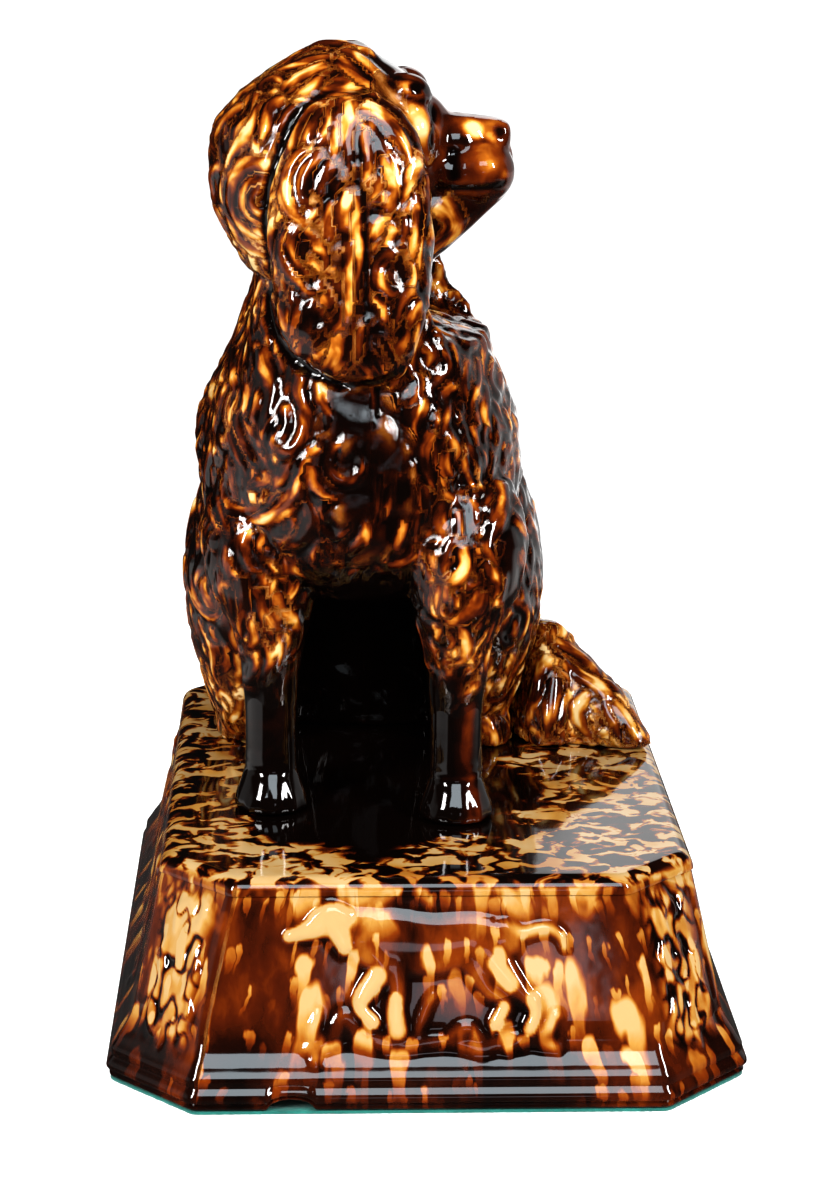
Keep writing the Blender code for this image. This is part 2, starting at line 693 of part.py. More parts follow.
def relief_limb(points, rise, frame, mirror=1):
    """A raised limb or leaf on a panel: a flattened tube along its points, rounded off at both ends."""
    stretch = (SHOULDER_LEVEL - FOOT_LEVEL) / RELIEF_PANEL_HEIGHT
    rows = [(mirror * x, (y - FOOT_LEVEL) * stretch, half) for x, y, half in points]
    rings = []
    for i, ((x, y, half), (along, across)) in enumerate(zip(rows, path_frames(rows))):
        steps = [(0.0, 1.0)]
        if i == 0:
            steps.insert(0, (-LIMB_END_PUSH, LIMB_END_SHARE))
        if i == len(rows) - 1:
            steps.append((LIMB_END_PUSH, LIMB_END_SHARE))
        for push, share in steps:
            middle = Vector((x, y)) + along * half * push
            ring = []
            for j in range(LIMB_POINTS):
                angle = 2 * math.pi * (j + 0.5) / LIMB_POINTS
                flat = middle + across * half * share * math.cos(angle)
                ring.append(frame @ Vector((flat.x, flat.y, rise * share * math.sin(angle) - RELIEF_SINK)))
            rings.append(ring)
    return closed_solid("relief", rings)


def reliefs():
    """All the raised work on the plinth's panels."""
    made = []
    for end in (0, 2):
        made += [relief_limb(points, rise, panel_frame(end)) for points, rise in HOUND]
    for turn in range(4):
        made += [relief_limb(points, rise, panel_frame(turn, corner_panel=True)) for points, rise in SPRAY]
    for side in (1, 3):
        for number, offset in enumerate(SIDE_SPRAY_PLACES):
            frame = panel_frame(side, offset=offset)
            flip = 1 if number % 2 else -1
            made += [relief_limb(points, rise, frame, flip) for points, rise in SPRAY]
    return made


def plinth():
    """The hollow plinth with its reliefs, vent hole and the small notch in its foot."""
    whole = combine("plinth_whole", plinth_block(), reliefs(), "UNION")
    vent_y = (TORSO[0][3] + TORSO[0][4]) / 2
    notch_z = FOOT_LEVEL - NOTCH_RADIUS / 3
    cutters = [
        plinth_hollow(),
        cylinder("vent", VENT_RADIUS, (DOG_X, vent_y, PLINTH_HEIGHT - 2 * DECK_THICKNESS),
                 (DOG_X, vent_y, PLINTH_HEIGHT + DECK_THICKNESS), Matrix.Identity(4), RING_POINTS),
        cylinder("notch", NOTCH_RADIUS, (NOTCH_X, -FOOT_LENGTH / 2 - PLINTH_WALL, notch_z),
                 (NOTCH_X, -FOOT_LENGTH / 2 + PLINTH_WALL / 2, notch_z),
                 Matrix.Rotation(math.pi / 2, 4, "X"), NOTCH_POINTS),
    ]
    return combine("plinth", whole, cutters, "DIFFERENCE")


def felt_pad():
    """The felt, cut to the plinth's lower edge."""
    plan = set_in(foot_plan(), MOULDING[0][1] - FELT_MARGIN)
    return closed_solid("felt_pad", [plinth_ring(plan, height) for height in (0.0, FELT_THICKNESS)])


def finish(made, colour, roughness):
    """Cleans a piece's mesh, shades it smooth and gives it its material."""
    bm = bmesh.new()
    bm.from_mesh(made.data)
    bmesh.ops.triangulate(bm, faces=bm.faces)
    bm.to_mesh(made.data)
    bm.free()
    made.data.shade_smooth()
    made.data.set_sharp_from_angle(angle=math.radians(SMOOTH_ANGLE))
    made.data.materials.clear()
    made.data.materials.append(material(made.name, colour, roughness))


def main():
    for old in list(bpy.data.objects):
        bpy.data.objects.remove(old)
    right, left = body_halves()
    glazed = [
        plinth(),
        right,
        left,
        front_leg("front_right_leg", RIGHT_LEG_PLACE),
        front_leg("front_left_leg", LEFT_LEG_PLACE),
        feathered_tail(),
    ]
    for piece in glazed:
        finish(piece, GLAZES[piece.name], GLAZE_ROUGHNESS)
    finish(felt_pad(), FELT_COLOUR, FELT_ROUGHNESS)


main()
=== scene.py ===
"""Looks of the seated pottery dog: carved coat, moulded plinth, mottled glaze and studio light."""
import itertools
import math
import random

import bmesh
import bpy
import numpy as np
from mathutils import Matrix, Vector
from mathutils.bvhtree import BVHTree


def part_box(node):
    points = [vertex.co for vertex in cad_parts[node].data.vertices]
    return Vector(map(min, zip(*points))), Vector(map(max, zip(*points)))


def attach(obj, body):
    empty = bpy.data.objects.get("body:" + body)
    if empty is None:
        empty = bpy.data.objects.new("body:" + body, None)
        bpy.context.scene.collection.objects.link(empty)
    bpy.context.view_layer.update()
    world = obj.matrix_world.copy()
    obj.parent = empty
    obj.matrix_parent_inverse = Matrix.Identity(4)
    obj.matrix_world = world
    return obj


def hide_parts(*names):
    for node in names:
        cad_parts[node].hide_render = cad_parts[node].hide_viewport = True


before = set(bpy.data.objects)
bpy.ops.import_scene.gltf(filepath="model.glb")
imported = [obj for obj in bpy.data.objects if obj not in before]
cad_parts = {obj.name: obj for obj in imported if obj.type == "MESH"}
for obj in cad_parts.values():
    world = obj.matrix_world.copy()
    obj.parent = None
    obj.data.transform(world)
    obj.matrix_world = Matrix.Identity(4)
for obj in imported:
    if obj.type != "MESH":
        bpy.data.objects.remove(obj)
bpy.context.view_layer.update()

# A millimetre, in metres
MM = 0.001

# Places that the carving is measured from
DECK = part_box("plinth")[1][2]
SEAM_X = (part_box("body_right_half")[1][0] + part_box("body_left_half")[0][0]) / 2
HEAD_Y = -0.014

# Camera, fitted to the plinth's corners in the photograph
CAMERA_PLACE = (-0.03236, -0.84360, 0.33603)
CAMERA_DOWN = 0.2606
CAMERA_TURN = 0.0346
CAMERA_ROLL = 0.0068
CAMERA_FOCUS = 2936.9
PHOTO_WIDTH = 815
PHOTO_HEIGHT = 1200
SENSOR = 36.0

# Skins: size of their voxels, and how many times they are smoothed
COAT_VOXEL = 0.00096
LEG_VOXEL = 0.0006
TAIL_VOXEL = 0.0007
COAT_SMOOTHING = 7
LEG_SMOOTHING = 30
TAIL_SMOOTHING = 26
# Gap between the halves at the seam, and how far each solid is moved over it before the skin is made
SEAM_GAP = 0.00008
SEAM_REACH = 0.00025
# Cells that vertices are found by, steps along a path, and the longest leap within one drawn path
CELL = 0.005
STEP = 0.0011
LEAP = 0.006
# Seeded locks of the coat and of the tail: seed, how many at most, how far apart, and the tail's scale
COAT_SEED = 7
COAT_COUNT = 1600
COAT_SPACING = 0.0098
TAIL_SEED = 3
TAIL_COUNT = 420
TAIL_SPACING = 0.0052
TAIL_SCALE = 0.62
# What each seeded lock is drawn from: its length, how far it sways and from where, how much its tip hooks,
# its half width and rise, and its fine grooves; in metres and radians
LOCK_LENGTH = (0.018, 0.034)
LOCK_WAVE = (0.40, 0.90)
LOCK_PHASE = (-0.5, 0.5)
LOCK_HOOKS = (0.0, 0.0, 1.6, 2.6, 3.6)
LOCK_HALF = (0.0032, 0.0054)
LOCK_RISE = (0.0015, 0.0025)
LOCK_STRANDS = (0.5, 1.0, 1.0, 1.5)
SIDES = (-1, 1)
# The coat has to be this deep where a seeded lock is laid
LEAST_DEPTH = 0.15
# Rounds of averaging: of the heights, for the level round them, and of what is pressed in the end; and how
# much of that level is taken out
HEIGHT_ROUNDS = 2
LEVEL_ROUNDS = 24
PRESSED_ROUNDS = 3
LEVELLING = 0.7


def new_object(name, mesh):
    """A mesh object in the scene."""
    made = bpy.data.objects.new(name, mesh)
    bpy.context.scene.collection.objects.link(made)
    return made


def mesh_of(bm, name):
    """A new mesh with what a bmesh holds."""
    mesh = bpy.data.meshes.new(name)
    bm.to_mesh(mesh)
    bm.free()
    return mesh


def joined_nodes(name, shifts, plug=None, change=None, forms=()):
    """One object with the solids of CAD nodes, moved and changed a little, with a plug and other forms."""
    bm = bmesh.new()
    for node, shift in shifts.items():
        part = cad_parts[node].data.copy()
        part.transform(Matrix.Translation(shift))
        if change:
            change(part)
        bm.from_mesh(part)
        bpy.data.meshes.remove(part)
    if plug:
        low, high = plug
        middle = [(a + b) / 2 for a, b in zip(low, high)]
        size = [b - a for a, b in zip(low, high)]
        place = Matrix.Translation(middle) @ Matrix.Diagonal((*size, 1.0))
        bmesh.ops.create_cube(bm, size=1.0, matrix=place)
    for form in forms:
        bm.from_mesh(form)
        bpy.data.meshes.remove(form)
    bmesh.ops.remove_doubles(bm, verts=bm.verts, dist=1e-6)
    return new_object(name, mesh_of(bm, name))


def baked(obj):
    """The object's mesh with its modifiers applied."""
    bpy.context.view_layer.update()
    mesh = bpy.data.meshes.new_from_object(obj.evaluated_get(bpy.context.evaluated_depsgraph_get()))
    obj.modifiers.clear()
    old = obj.data
    obj.data = mesh
    bpy.data.meshes.remove(old)
    return obj


def keep_largest(mesh):
    """Deletes all of a mesh but its largest island."""
    bm = bmesh.new()
    bm.from_mesh(mesh)
    left = set(bm.verts)
    islands = []
    while left:
        island = []
        open_verts = [left.pop()]
        while open_verts:
            vert = open_verts.pop()
            island.append(vert)
            for edge in vert.link_edges:
                other = edge.other_vert(vert)
                if other in left:
                    left.remove(other)
                    open_verts.append(other)
        islands.append(island)
    islands.sort(key=len)
    extra = [vert for island in islands[:-1] for vert in island]
    bmesh.ops.delete(bm, geom=extra, context="VERTS")
    bm.to_mesh(mesh)
    bm.free()


def fine_skin(obj, voxel, smoothing):
    """Remeshes an object into an even, closed and smoothed skin."""
    remesh = obj.modifiers.new("remesh", "REMESH")
    remesh.mode = "VOXEL"
    remesh.voxel_size = voxel
    soften = obj.modifiers.new("soften", "SMOOTH")
    soften.factor = 0.5
    soften.iterations = smoothing
    baked(obj)
    keep_largest(obj.data)
    return obj


def camera_axes():
    """The camera's right, up and ahead."""
    ahead = Vector((math.sin(CAMERA_TURN) * math.cos(CAMERA_DOWN),
                    math.cos(CAMERA_TURN) * math.cos(CAMERA_DOWN), -math.sin(CAMERA_DOWN)))
    right = Vector((math.cos(CAMERA_TURN), -math.sin(CAMERA_TURN), 0.0))
    up = right.cross(ahead)
    across = right * math.cos(CAMERA_ROLL) + up * math.sin(CAMERA_ROLL)
    above = up * math.cos(CAMERA_ROLL) - right * math.sin(CAMERA_ROLL)
    return across, above, ahead


def sight(u, v):
    """Which way a pixel of the photograph looks from the camera."""
    across, above, ahead = camera_axes()
    way = ahead * CAMERA_FOCUS + across * (u - PHOTO_WIDTH / 2) - above * (v - PHOTO_HEIGHT / 2)
    return way.normalized()


def mirrored(point):
    """A point of the head on the other side of the head's middle plane."""
    return Vector((point.x, 2 * HEAD_Y - point.y, point.z))


def vectors(items, name):
    """A vector of each of a mesh's items, as the rows of an array."""
    values = np.empty(len(items) * 3)
    items.foreach_get(name, values)
    return values.reshape(-1, 3)


def flattened(way, normal):
    """A direction laid along the skin."""
    return (way - normal * way.dot(normal)).normalized()


def keep(mesh, **layers):
    """Keeps values at a mesh's vertices under their names, for its glaze."""
    for name, values in layers.items():
        layer = mesh.attributes.new(name, "FLOAT", "POINT")
        layer.data.foreach_set("value", np.ravel(values))


class Relief:
    """Locks pressed into a skin: a height for every vertex, and where it lies in its lock."""

    def __init__(self, obj):
        self.mesh = obj.data
        self.co = vectors(self.mesh.vertices, "co")
        self.no = vectors(self.mesh.vertex_normals, "vector")
        self.tree = BVHTree.FromObject(obj, bpy.context.evaluated_depsgraph_get())
        self.height, self.side, self.along, self.lock, self.tone = np.zeros((5, len(self.co)))
        self.cells = {}
        keys = np.floor(self.co / CELL).astype(int)
        order = np.lexsort(keys.T)
        starts = np.flatnonzero(np.any(np.diff(keys[order], axis=0), axis=1)) + 1
        for group in np.split(order, starts):
            self.cells[tuple(keys[group[0]])] = group

    def near(self, points, reach):
        """Indices of the vertices in the cells round some points."""
        keys = set()
        for point in points:
            low = np.floor((point - reach) / CELL).astype(int)
            high = np.floor((point + reach) / CELL).astype(int)
            keys.update(itertools.product(*(range(a, b + 1) for a, b in zip(low, high))))
        found = [self.cells[key] for key in keys if key in self.cells]
        return np.concatenate(found) if found else np.empty(0, int)

    def on_skin(self, point):
        """The nearest point of the skin and its normal."""
        return self.tree.find_nearest(Vector(point))[:2]

    def struck(self, pixel):
        """Where the sight through a pixel of the photograph meets the skin, if it does."""
        return self.tree.ray_cast(Vector(CAMERA_PLACE), sight(*pixel))[0]

    def trace(self, start, flow, length, turn):
        """Points, directions and normals of a path that follows a flow, turned by turn(t) on the way."""
        count = max(4, round(length / STEP))
        point, normal = self.on_skin(start)
        path = []
        for i in range(count + 1):
            way = Matrix.Rotation(turn(i / count), 3, normal) @ flattened(flow(point), normal)
            path.append((*point, *way, *normal))
            point, normal = self.on_skin(point + way * STEP)
        return np.array(path)

    def even(self, points):
        """A path of even steps through points of the skin: places, directions and normals."""
        points = np.array([tuple(point) for point in points])
        steps = np.linalg.norm(np.diff(points, axis=0), axis=1)
        length = np.concatenate([[0], np.cumsum(steps)])
        count = max(3, round(length[-1] / STEP))
        at = np.linspace(0, length[-1], count + 1)
        placed = np.stack([np.interp(at, length, points[:, k]) for k in range(3)], axis=1)
        rows = []
        for point, way in zip(placed, np.gradient(placed, axis=0)):
            _, normal = self.on_skin(point)
            rows.append((*point, *flattened(Vector(way), normal), *normal))
        return np.array(rows)

    def drawn(self, route, mirror=False):
        """A path over the skin along a route of the photograph's pixels, if enough of it meets the skin."""
        points = []
        for pixel in smooth_path(route, 6):
            place = self.struck(pixel)
            if place is None or (points and (place - points[-1]).length > LEAP):
                continue
            points.append(place)
        if mirror:
            points = [self.on_skin(mirrored(point))[0] for point in points]
        return self.even(points) if len(points) > 2 else None

    def beside(self, path, reach):
        """The vertices near a path, how far across it each is and how far along, or nothing if none are."""
        if path is None:
            return None
        points, ways, normals = path[:, 0:3], path[:, 3:6], path[:, 6:9]
        near = self.near(points[::3], reach + 2 * STEP)
        if not len(near):
            return None
        apart = self.co[near][:, None, :] - points[None, :, :]
        best = np.einsum("ijk,ijk->ij", apart, apart).argmin(axis=1)
        gap = apart[np.arange(len(near)), best]
        ahead = np.einsum("ij,ij->i", gap, ways[best])
        lateral = np.einsum("ij,ij->i", gap, np.cross(normals[best], ways[best]))
        facing = np.einsum("ij,ij->i", self.no[near], normals[best])
        t = np.clip((best + ahead / STEP) / (len(points) - 1), 0.0, 1.0)
        good = (facing > 0.2) & (np.abs(ahead) < 2.5 * STEP)
        return near[good], lateral[good], t[good]

    def press(self, path, half, rise, number, strands=2.0, groove=0.22, taper=0.7, root=0.3, fade=0.12):
        """Lays one lock along a path, over what is there: rounded, pointed at its end, with fine grooves."""
        found = self.beside(path, half)
        if found is None:
            return
        near, lateral, t = found
        swell = np.sin(np.pi * np.clip(root + (1 - root) * t, 0, 1)) ** taper
        width = half * np.maximum(swell, 0.05)
        s = np.abs(lateral) / width
        inside = s < 1
        near, lateral, t, s, swell = near[inside], lateral[inside], t[inside], s[inside], swell[inside]
        crown = (1 - s ** 2.4) ** 0.8
        fine = 1 - groove * (0.5 - 0.5 * np.cos(2 * np.pi * strands * lateral / half)) * swell
        value = rise * swell ** 0.5 * crown * fine
        share = np.clip(t / fade, 0, 1)
        self.height[near] = self.height[near] * (1 - share) + value * share
        owned = share > 0.5
        self.side[near[owned]] = lateral[owned]
        self.along[near[owned]] = (t * (len(path) - 1) * STEP)[owned]
        self.lock[near[owned]] = number

    def score(self, path, half, depth):
        """Cuts a groove along a path, or with a negative depth raises a line."""
        found = self.beside(path, 3 * half)
        if found is None:
            return
        near, lateral, t = found
        ends = np.clip(np.minimum(t, 1 - t) / 0.12, 0, 1)
        share = ends * np.exp(-(lateral / half) ** 2)
        self.height[near] -= depth * share
        self.tone[near] -= 0.22 * share * depth / MM

    def away(self, pixel, radius, mirror=False):
        """How many radii, in millimetres, each vertex is from where a pixel's sight meets the skin."""
        place = self.struck(pixel)
        if place is None:
            return np.full(len(self.co), 99.0)
        if mirror:
            place = self.on_skin(mirrored(place))[0]
        return np.linalg.norm(self.co - np.array(place), axis=1) / (radius * MM)

    def mark(self, pixel, radius, rise, mirror=False):
        """A smooth swelling, or with a negative rise a pit."""
        self.height += rise * MM * np.exp(-self.away(pixel, radius, mirror) ** 2)

    def paint(self, pixel, radius, tone, mirror=False):
        """A paler patch of glaze, or with a negative tone a darker one."""
        self.tone += tone * np.exp(-self.away(pixel, radius, mirror) ** 4)

    def clear(self, pixel, radius, mirror=False, plain=False):
        """Smooths away what is pressed, and if it is to be plain its strokes of colour too."""
        share = 1 - np.exp(-self.away(pixel, radius, mirror) ** 4)
        self.height *= share
        if plain:
            self.side *= share
            self.along *= share
            self.lock *= share

    def fillet(self, width=0.9):
        """Glaze run together round the foot of a piece, where it meets the deck."""
        up = (self.co[:, 2] - DECK) / MM
        upright = np.clip(1 - np.abs(self.no[:, 2]) * 1.2, 0, 1)
        self.height += width * MM * np.exp(-np.clip(up, 0, None) / 0.9) * upright

    def blurred(self, values, times):
        """Values averaged with their neighbours over the mesh, some times over."""
        count = len(self.mesh.edges)
        edges = np.empty(count * 2, int)
        self.mesh.edges.foreach_get("vertices", edges)
        a, b = edges.reshape(-1, 2).T
        total = len(values)
        degree = np.bincount(a, minlength=total) + np.bincount(b, minlength=total)
        for _ in range(times):
            around = np.bincount(a, values[b], total) + np.bincount(b, values[a], total)
            values = (values + around / degree) / 2
        return values

    def finish(self):
        """Moves the skin by the heights and keeps what the glaze is painted by."""
        self.height = self.blurred(self.height, HEIGHT_ROUNDS)
        level = self.blurred(self.height, LEVEL_ROUNDS)
        ridge = (self.height - level) / MM
        self.height = self.blurred(self.height - LEVELLING * level, PRESSED_ROUNDS)
        moved = self.co + self.no * self.height[:, None]
        self.mesh.vertices.foreach_set("co", moved.ravel())
        keep(self.mesh, ridge=ridge, side=self.side, along=self.along, lock=self.lock, tone=self.tone)
        self.mesh.update()


# Locks that the photograph shows: route in its pixels from root to tip, half width and rise in millimetres
EAR_LOCKS = (
    (((318, 102), (300, 124), (290, 150), (283, 176), (280, 190)), 2.8, 1.5),
    (((326, 106), (312, 128), (303, 146), (297, 158)), 2.6, 1.5),
    (((338, 97), (332, 122), (322, 142), (312, 156)), 2.8, 1.6),
    (((347, 95), (343, 122), (336, 146), (332, 166)), 3.2, 1.8),
    (((356, 98), (352, 130), (350, 156), (348, 176)), 3.4, 1.8),
    (((312, 148), (293, 164), (286, 188), (290, 208), (303, 222), (318, 230)), 3.2, 2.2),
    (((326, 152), (308, 170), (303, 188), (306, 204), (317, 212)), 3.0, 2.0),
    (((334, 160), (325, 178), (321, 192), (326, 202)), 3.0, 2.0),
    (((344, 176), (333, 192), (332, 210), (329, 230), (328, 248), (334, 264)), 2.4, 1.7),
    (((352, 186), (344, 205), (344, 222), (352, 240), (351, 270), (350, 300), (346, 328)), 3.0, 1.8),
    (((358, 180), (361, 204), (358, 226), (361, 248), (360, 275), (357, 308)), 2.2, 1.5),
    (((292, 226), (283, 244), (284, 262), (294, 278), (308, 292), (327, 292)), 2.6, 2.0),
    (((298, 224), (292, 246), (298, 266), (315, 277)), 2.4, 1.7),
    (((303, 228), (315, 244), (326, 260), (322, 274)), 2.4, 1.7),
    (((306, 240), (303, 254), (308, 264)), 1.7, 1.3),
    (((284, 288), (274, 298), (273, 312)), 2.2, 1.4),
    (((280, 300), (282, 316), (287, 334)), 3.2, 1.6),
    (((358, 104), (376, 114), (396, 134), (408, 154), (404, 168)), 3.8, 2.2),
    (((362, 118), (373, 136), (384, 152), (386, 172), (376, 190), (368, 202)), 3.2, 1.9),
    (((361, 128), (365, 148), (368, 168), (361, 184)), 2.6, 1.8),
    (((386, 152), (393, 172), (396, 190), (388, 208), (374, 206)), 3.2, 2.0),
    (((422, 162), (412, 172), (406, 190), (403, 206)), 2.4, 1.9),
    (((426, 168), (428, 200), (423, 230), (419, 262), (416, 284)), 2.2, 1.5),
    (((417, 190), (417, 218), (414, 244), (409, 268)), 2.2, 1.6),
    (((404, 212), (405, 232), (399, 246)), 1.8, 1.5),
    (((386, 224), (393, 230), (388, 242), (378, 248)), 1.8, 1.5),
    (((402, 254), (385, 256), (377, 272), (382, 288), (396, 296), (412, 286), (414, 268), (404, 256)),
     2.6, 1.8),
    (((372, 294), (382, 306), (387, 328)), 1.9, 1.4),
    (((416, 288), (404, 300), (397, 314), (396, 332)), 2.2, 1.4),
    (((422, 298), (413, 314), (410, 330)), 2.6, 1.5),
    (((364, 322), (359, 344), (358, 366)), 1.9, 1.1),
)
HEAD_LOCKS = (
    (((336, 57), (314, 59), (290, 67), (270, 76), (258, 92), (252, 112), (244, 128)), 2.8, 1.8),
    (((330, 50), (312, 50), (297, 57)), 1.8, 1.2),
    (((330, 64), (308, 72), (290, 84), (278, 98)), 2.8, 1.6),
    (((322, 74), (312, 88), (292, 96)), 2.2, 1.5),
    (((286, 84), (272, 78), (261, 86), (268, 95)), 2.2, 1.6),
    (((248, 104), (230, 114), (218, 128), (213, 144), (220, 154)), 3.6, 2.2),
    (((262, 98), (255, 120), (243, 140), (233, 154), (223, 172)), 2.6, 1.8),
    (((288, 98), (272, 106), (266, 126), (262, 146)), 3.0, 1.9),
    (((298, 104), (284, 120), (279, 140)), 2.2, 1.5),
    (((222, 162), (211, 176), (212, 194), (224, 206)), 3.2, 2.0),
    (((228, 212), (234, 232), (250, 248), (270, 256)), 3.2, 1.6),
    (((276, 166), (250, 166), (234, 180), (231, 202), (238, 222), (254, 236), (268, 240)), 3.4, 2.3),
    (((272, 180), (252, 184), (243, 200), (248, 216), (264, 226)), 2.4, 2.0),
    (((266, 188), (254, 194), (252, 205), (262, 213), (272, 204)), 1.9, 1.9),
    (((278, 196), (281, 212), (275, 226)), 1.8, 1.3),
    (((340, 47), (360, 60), (378, 76), (392, 92), (406, 108)), 3.4, 1.8),
    (((334, 58), (348, 66), (364, 80), (382, 96)), 3.0, 1.5),
)
CHEST_LOCKS = (
    (((256, 266), (245, 284), (240, 302), (243, 314)), 2.6, 1.8),
    (((264, 272), (256, 296), (252, 318), (251, 342), (249, 366), (252, 388)), 2.3, 1.7),
    (((244, 312), (234, 332), (227, 354), (224, 378), (224, 402), (227, 420)), 3.2, 1.9),
    (((251, 312), (248, 334), (243, 352), (240, 370), (241, 384)), 2.2, 1.8),
    (((234, 344), (232, 368), (235, 390), (231, 410)), 2.2, 1.6),
    (((219, 362), (212, 384), (214, 402), (219, 414)), 2.8, 1.7),
    (((262, 316), (269, 332), (266, 348), (258, 358)), 2.6, 2.1),
    (((270, 300), (276, 320), (278, 345), (272, 366)), 2.2, 1.6),
    (((258, 345), (264, 366), (271, 384), (270, 404), (262, 428)), 3.8, 2.0),
    (((290, 350), (293, 370), (284, 384)), 2.2, 1.6),
    (((304, 368), (300, 390), (305, 412), (302, 436), (290, 450), (270, 453)), 3.2, 2.2),
    (((320, 378), (321, 400), (328, 416), (325, 434)), 2.6, 1.8),
    (((238, 410), (239, 434), (250, 456), (259, 472)), 2.5, 1.9),
    (((228, 428), (235, 450), (245, 470), (245, 492)), 2.4, 1.8),
    (((245, 416), (255, 438), (268, 456)), 2.0, 1.6),
    (((284, 402), (287, 428), (277, 444)), 2.8, 1.8),
    (((289, 458), (282, 478), (268, 494)), 2.8, 1.9),
    (((228, 468), (221, 490), (227, 508), (246, 512), (268, 505)), 3.0, 1.7),
    (((307, 452), (303, 480), (291, 502), (272, 516), (248, 523), (234, 520)), 3.4, 2.4),
    (((214, 436), (208, 464), (207, 488), (215, 514), (231, 538), (241, 568), (246, 590)), 3.2, 2.0),
    (((222, 470), (216, 495), (222, 520), (232, 544)), 2.2, 1.5),
    (((252, 526), (243, 546), (251, 566), (266, 574)), 2.8, 1.9),
    (((264, 532), (258, 546), (265, 557)), 1.9, 1.5),
    (((346, 444), (333, 448), (328, 464), (336, 479), (352, 482), (363, 468), (358, 452)), 2.6, 1.8),
    (((314, 462), (312, 480), (324, 495), (344, 501)), 2.6, 1.7),
    (((334, 502), (319, 510), (319, 526), (332, 537), (348, 530), (348, 514)), 2.4, 1.8),
    (((366, 518), (364, 538), (351, 553), (342, 570)), 2.3, 1.7),
    (((322, 540), (328, 552), (336, 562)), 2.0, 1.6),
    (((303, 498), (311, 520), (300, 540), (284, 547)), 2.8, 1.8),
    (((288, 552), (294, 570), (309, 578)), 3.0, 2.0),
    (((380, 470), (380, 498), (377, 526)), 1.6, 1.2),
    (((389, 482), (389, 500), (386, 520)), 1.8, 1.3),
    (((373, 384), (375, 410), (372, 440)), 1.8, 1.3),
    (((447, 254), (452, 274), (455, 296), (461, 312)), 2.6, 1.8),
    (((460, 260), (467, 280), (473, 296), (477, 308)), 2.6, 1.8),
    (((440, 292), (445, 310), (457, 321)), 2.0, 1.5),
    (((445, 320), (455, 334), (460, 352)), 2.0, 1.5),
    (((460, 300), (471, 315), (483, 326), (490, 346), (491, 370), (497, 396), (498, 426)), 2.5, 2.0),
    (((480, 312), (492, 330), (495, 350), (501, 370), (508, 392), (508, 420)), 2.3, 1.7),
    (((430, 328), (446, 338), (455, 356), (456, 376), (447, 388)), 2.4, 2.0),
    (((438, 342), (447, 358), (446, 376), (430, 388), (434, 402), (430, 420)), 2.6, 2.0),
    (((424, 342), (431, 356), (425, 370)), 3.0, 1.8),
    (((419, 372), (417, 394), (405, 406)), 2.2, 1.9),
    (((457, 384), (446, 396), (446, 416), (441, 438)), 2.8, 1.9),
    (((468, 358), (465, 384), (468, 410), (459, 428)), 2.2, 1.7),
    (((477, 354), (478, 384), (471, 402), (466, 426)), 2.2, 1.7),
    (((488, 384), (485, 410), (490, 432), (493, 448)), 3.0, 1.8),
    (((437, 430), (428, 452), (428, 474), (438, 492)), 3.6, 2.0),
    (((442, 434), (438, 456), (443, 476), (446, 494)), 2.0, 1.7),
    (((448, 448), (446, 468), (456, 480)), 2.6, 1.8),
    (((470, 424), (476, 440), (474, 456)), 2.0, 1.6),
    (((463, 434), (472, 450), (482, 466)), 2.0, 1.6),
    (((486, 424), (483, 440), (491, 452)), 2.2, 1.6),
    (((463, 455), (468, 474), (476, 492)), 2.5, 1.7),
    (((493, 478), (491, 500), (481, 516)), 2.3, 1.7),
    (((500, 478), (504, 500), (497, 522), (487, 546), (499, 568)), 3.4, 2.2),
    (((446, 498), (439, 520), (446, 542)), 3.0, 1.8),
    (((458, 508), (461, 530), (466, 552), (471, 572)), 2.6, 1.8),
    (((472, 498), (473, 520), (468, 542)), 2.2, 1.6),
    (((456, 534), (448, 556), (438, 578)), 2.8, 1.9),
    (((461, 544), (464, 564), (455, 580), (443, 582)), 3.2, 2.1),
    (((422, 508), (415, 528), (417, 548)), 2.2, 1.5),
    (((406, 518), (400, 540), (389, 562)), 2.0, 1.5),
    (((400, 470), (404, 490), (398, 508)), 2.2, 1.2),
    (((431, 582), (428, 602), (432, 612)), 1.2, 1.2),
    (((439, 582), (437, 604), (440, 614)), 1.2, 1.2),
    (((447, 582), (446, 602), (448, 612)), 1.2, 1.2),
    (((484, 588), (477, 608), (458, 622), (440, 620)), 3.2, 2.0),
    (((464, 622), (467, 644), (462, 660), (451, 666)), 2.4, 1.7),
    (((498, 604), (491, 630), (485, 652)), 1.9, 1.4),
    (((241, 574), (243, 600), (238, 622), (246, 648)), 3.0, 1.7),
    (((256, 584), (262, 610), (270, 636), (273, 650)), 2.8, 1.7),
    (((228, 584), (232, 610), (234, 640), (244, 656)), 2.2, 1.5),
    (((274, 592), (282, 604), (290, 606)), 2.4, 1.6),
    (((268, 612), (277, 624), (288, 626)), 2.6, 1.7),
    (((194, 552), (190, 578), (196, 602), (210, 616), (224, 610)), 3.6, 2.2),
    (((214, 548), (210, 572), (214, 596), (220, 608)), 2.8, 1.7),
    (((198, 636), (202, 652), (212, 664)), 2.4, 1.6),
    (((224, 642), (228, 660), (219, 676)), 2.4, 1.8),
    (((234, 650), (240, 670), (236, 690)), 2.2, 1.6),
    (((216, 700), (222, 692), (232, 704), (230, 720)), 2.0, 1.6),
    (((240, 696), (238, 712), (228, 724)), 2.2, 1.6),
)
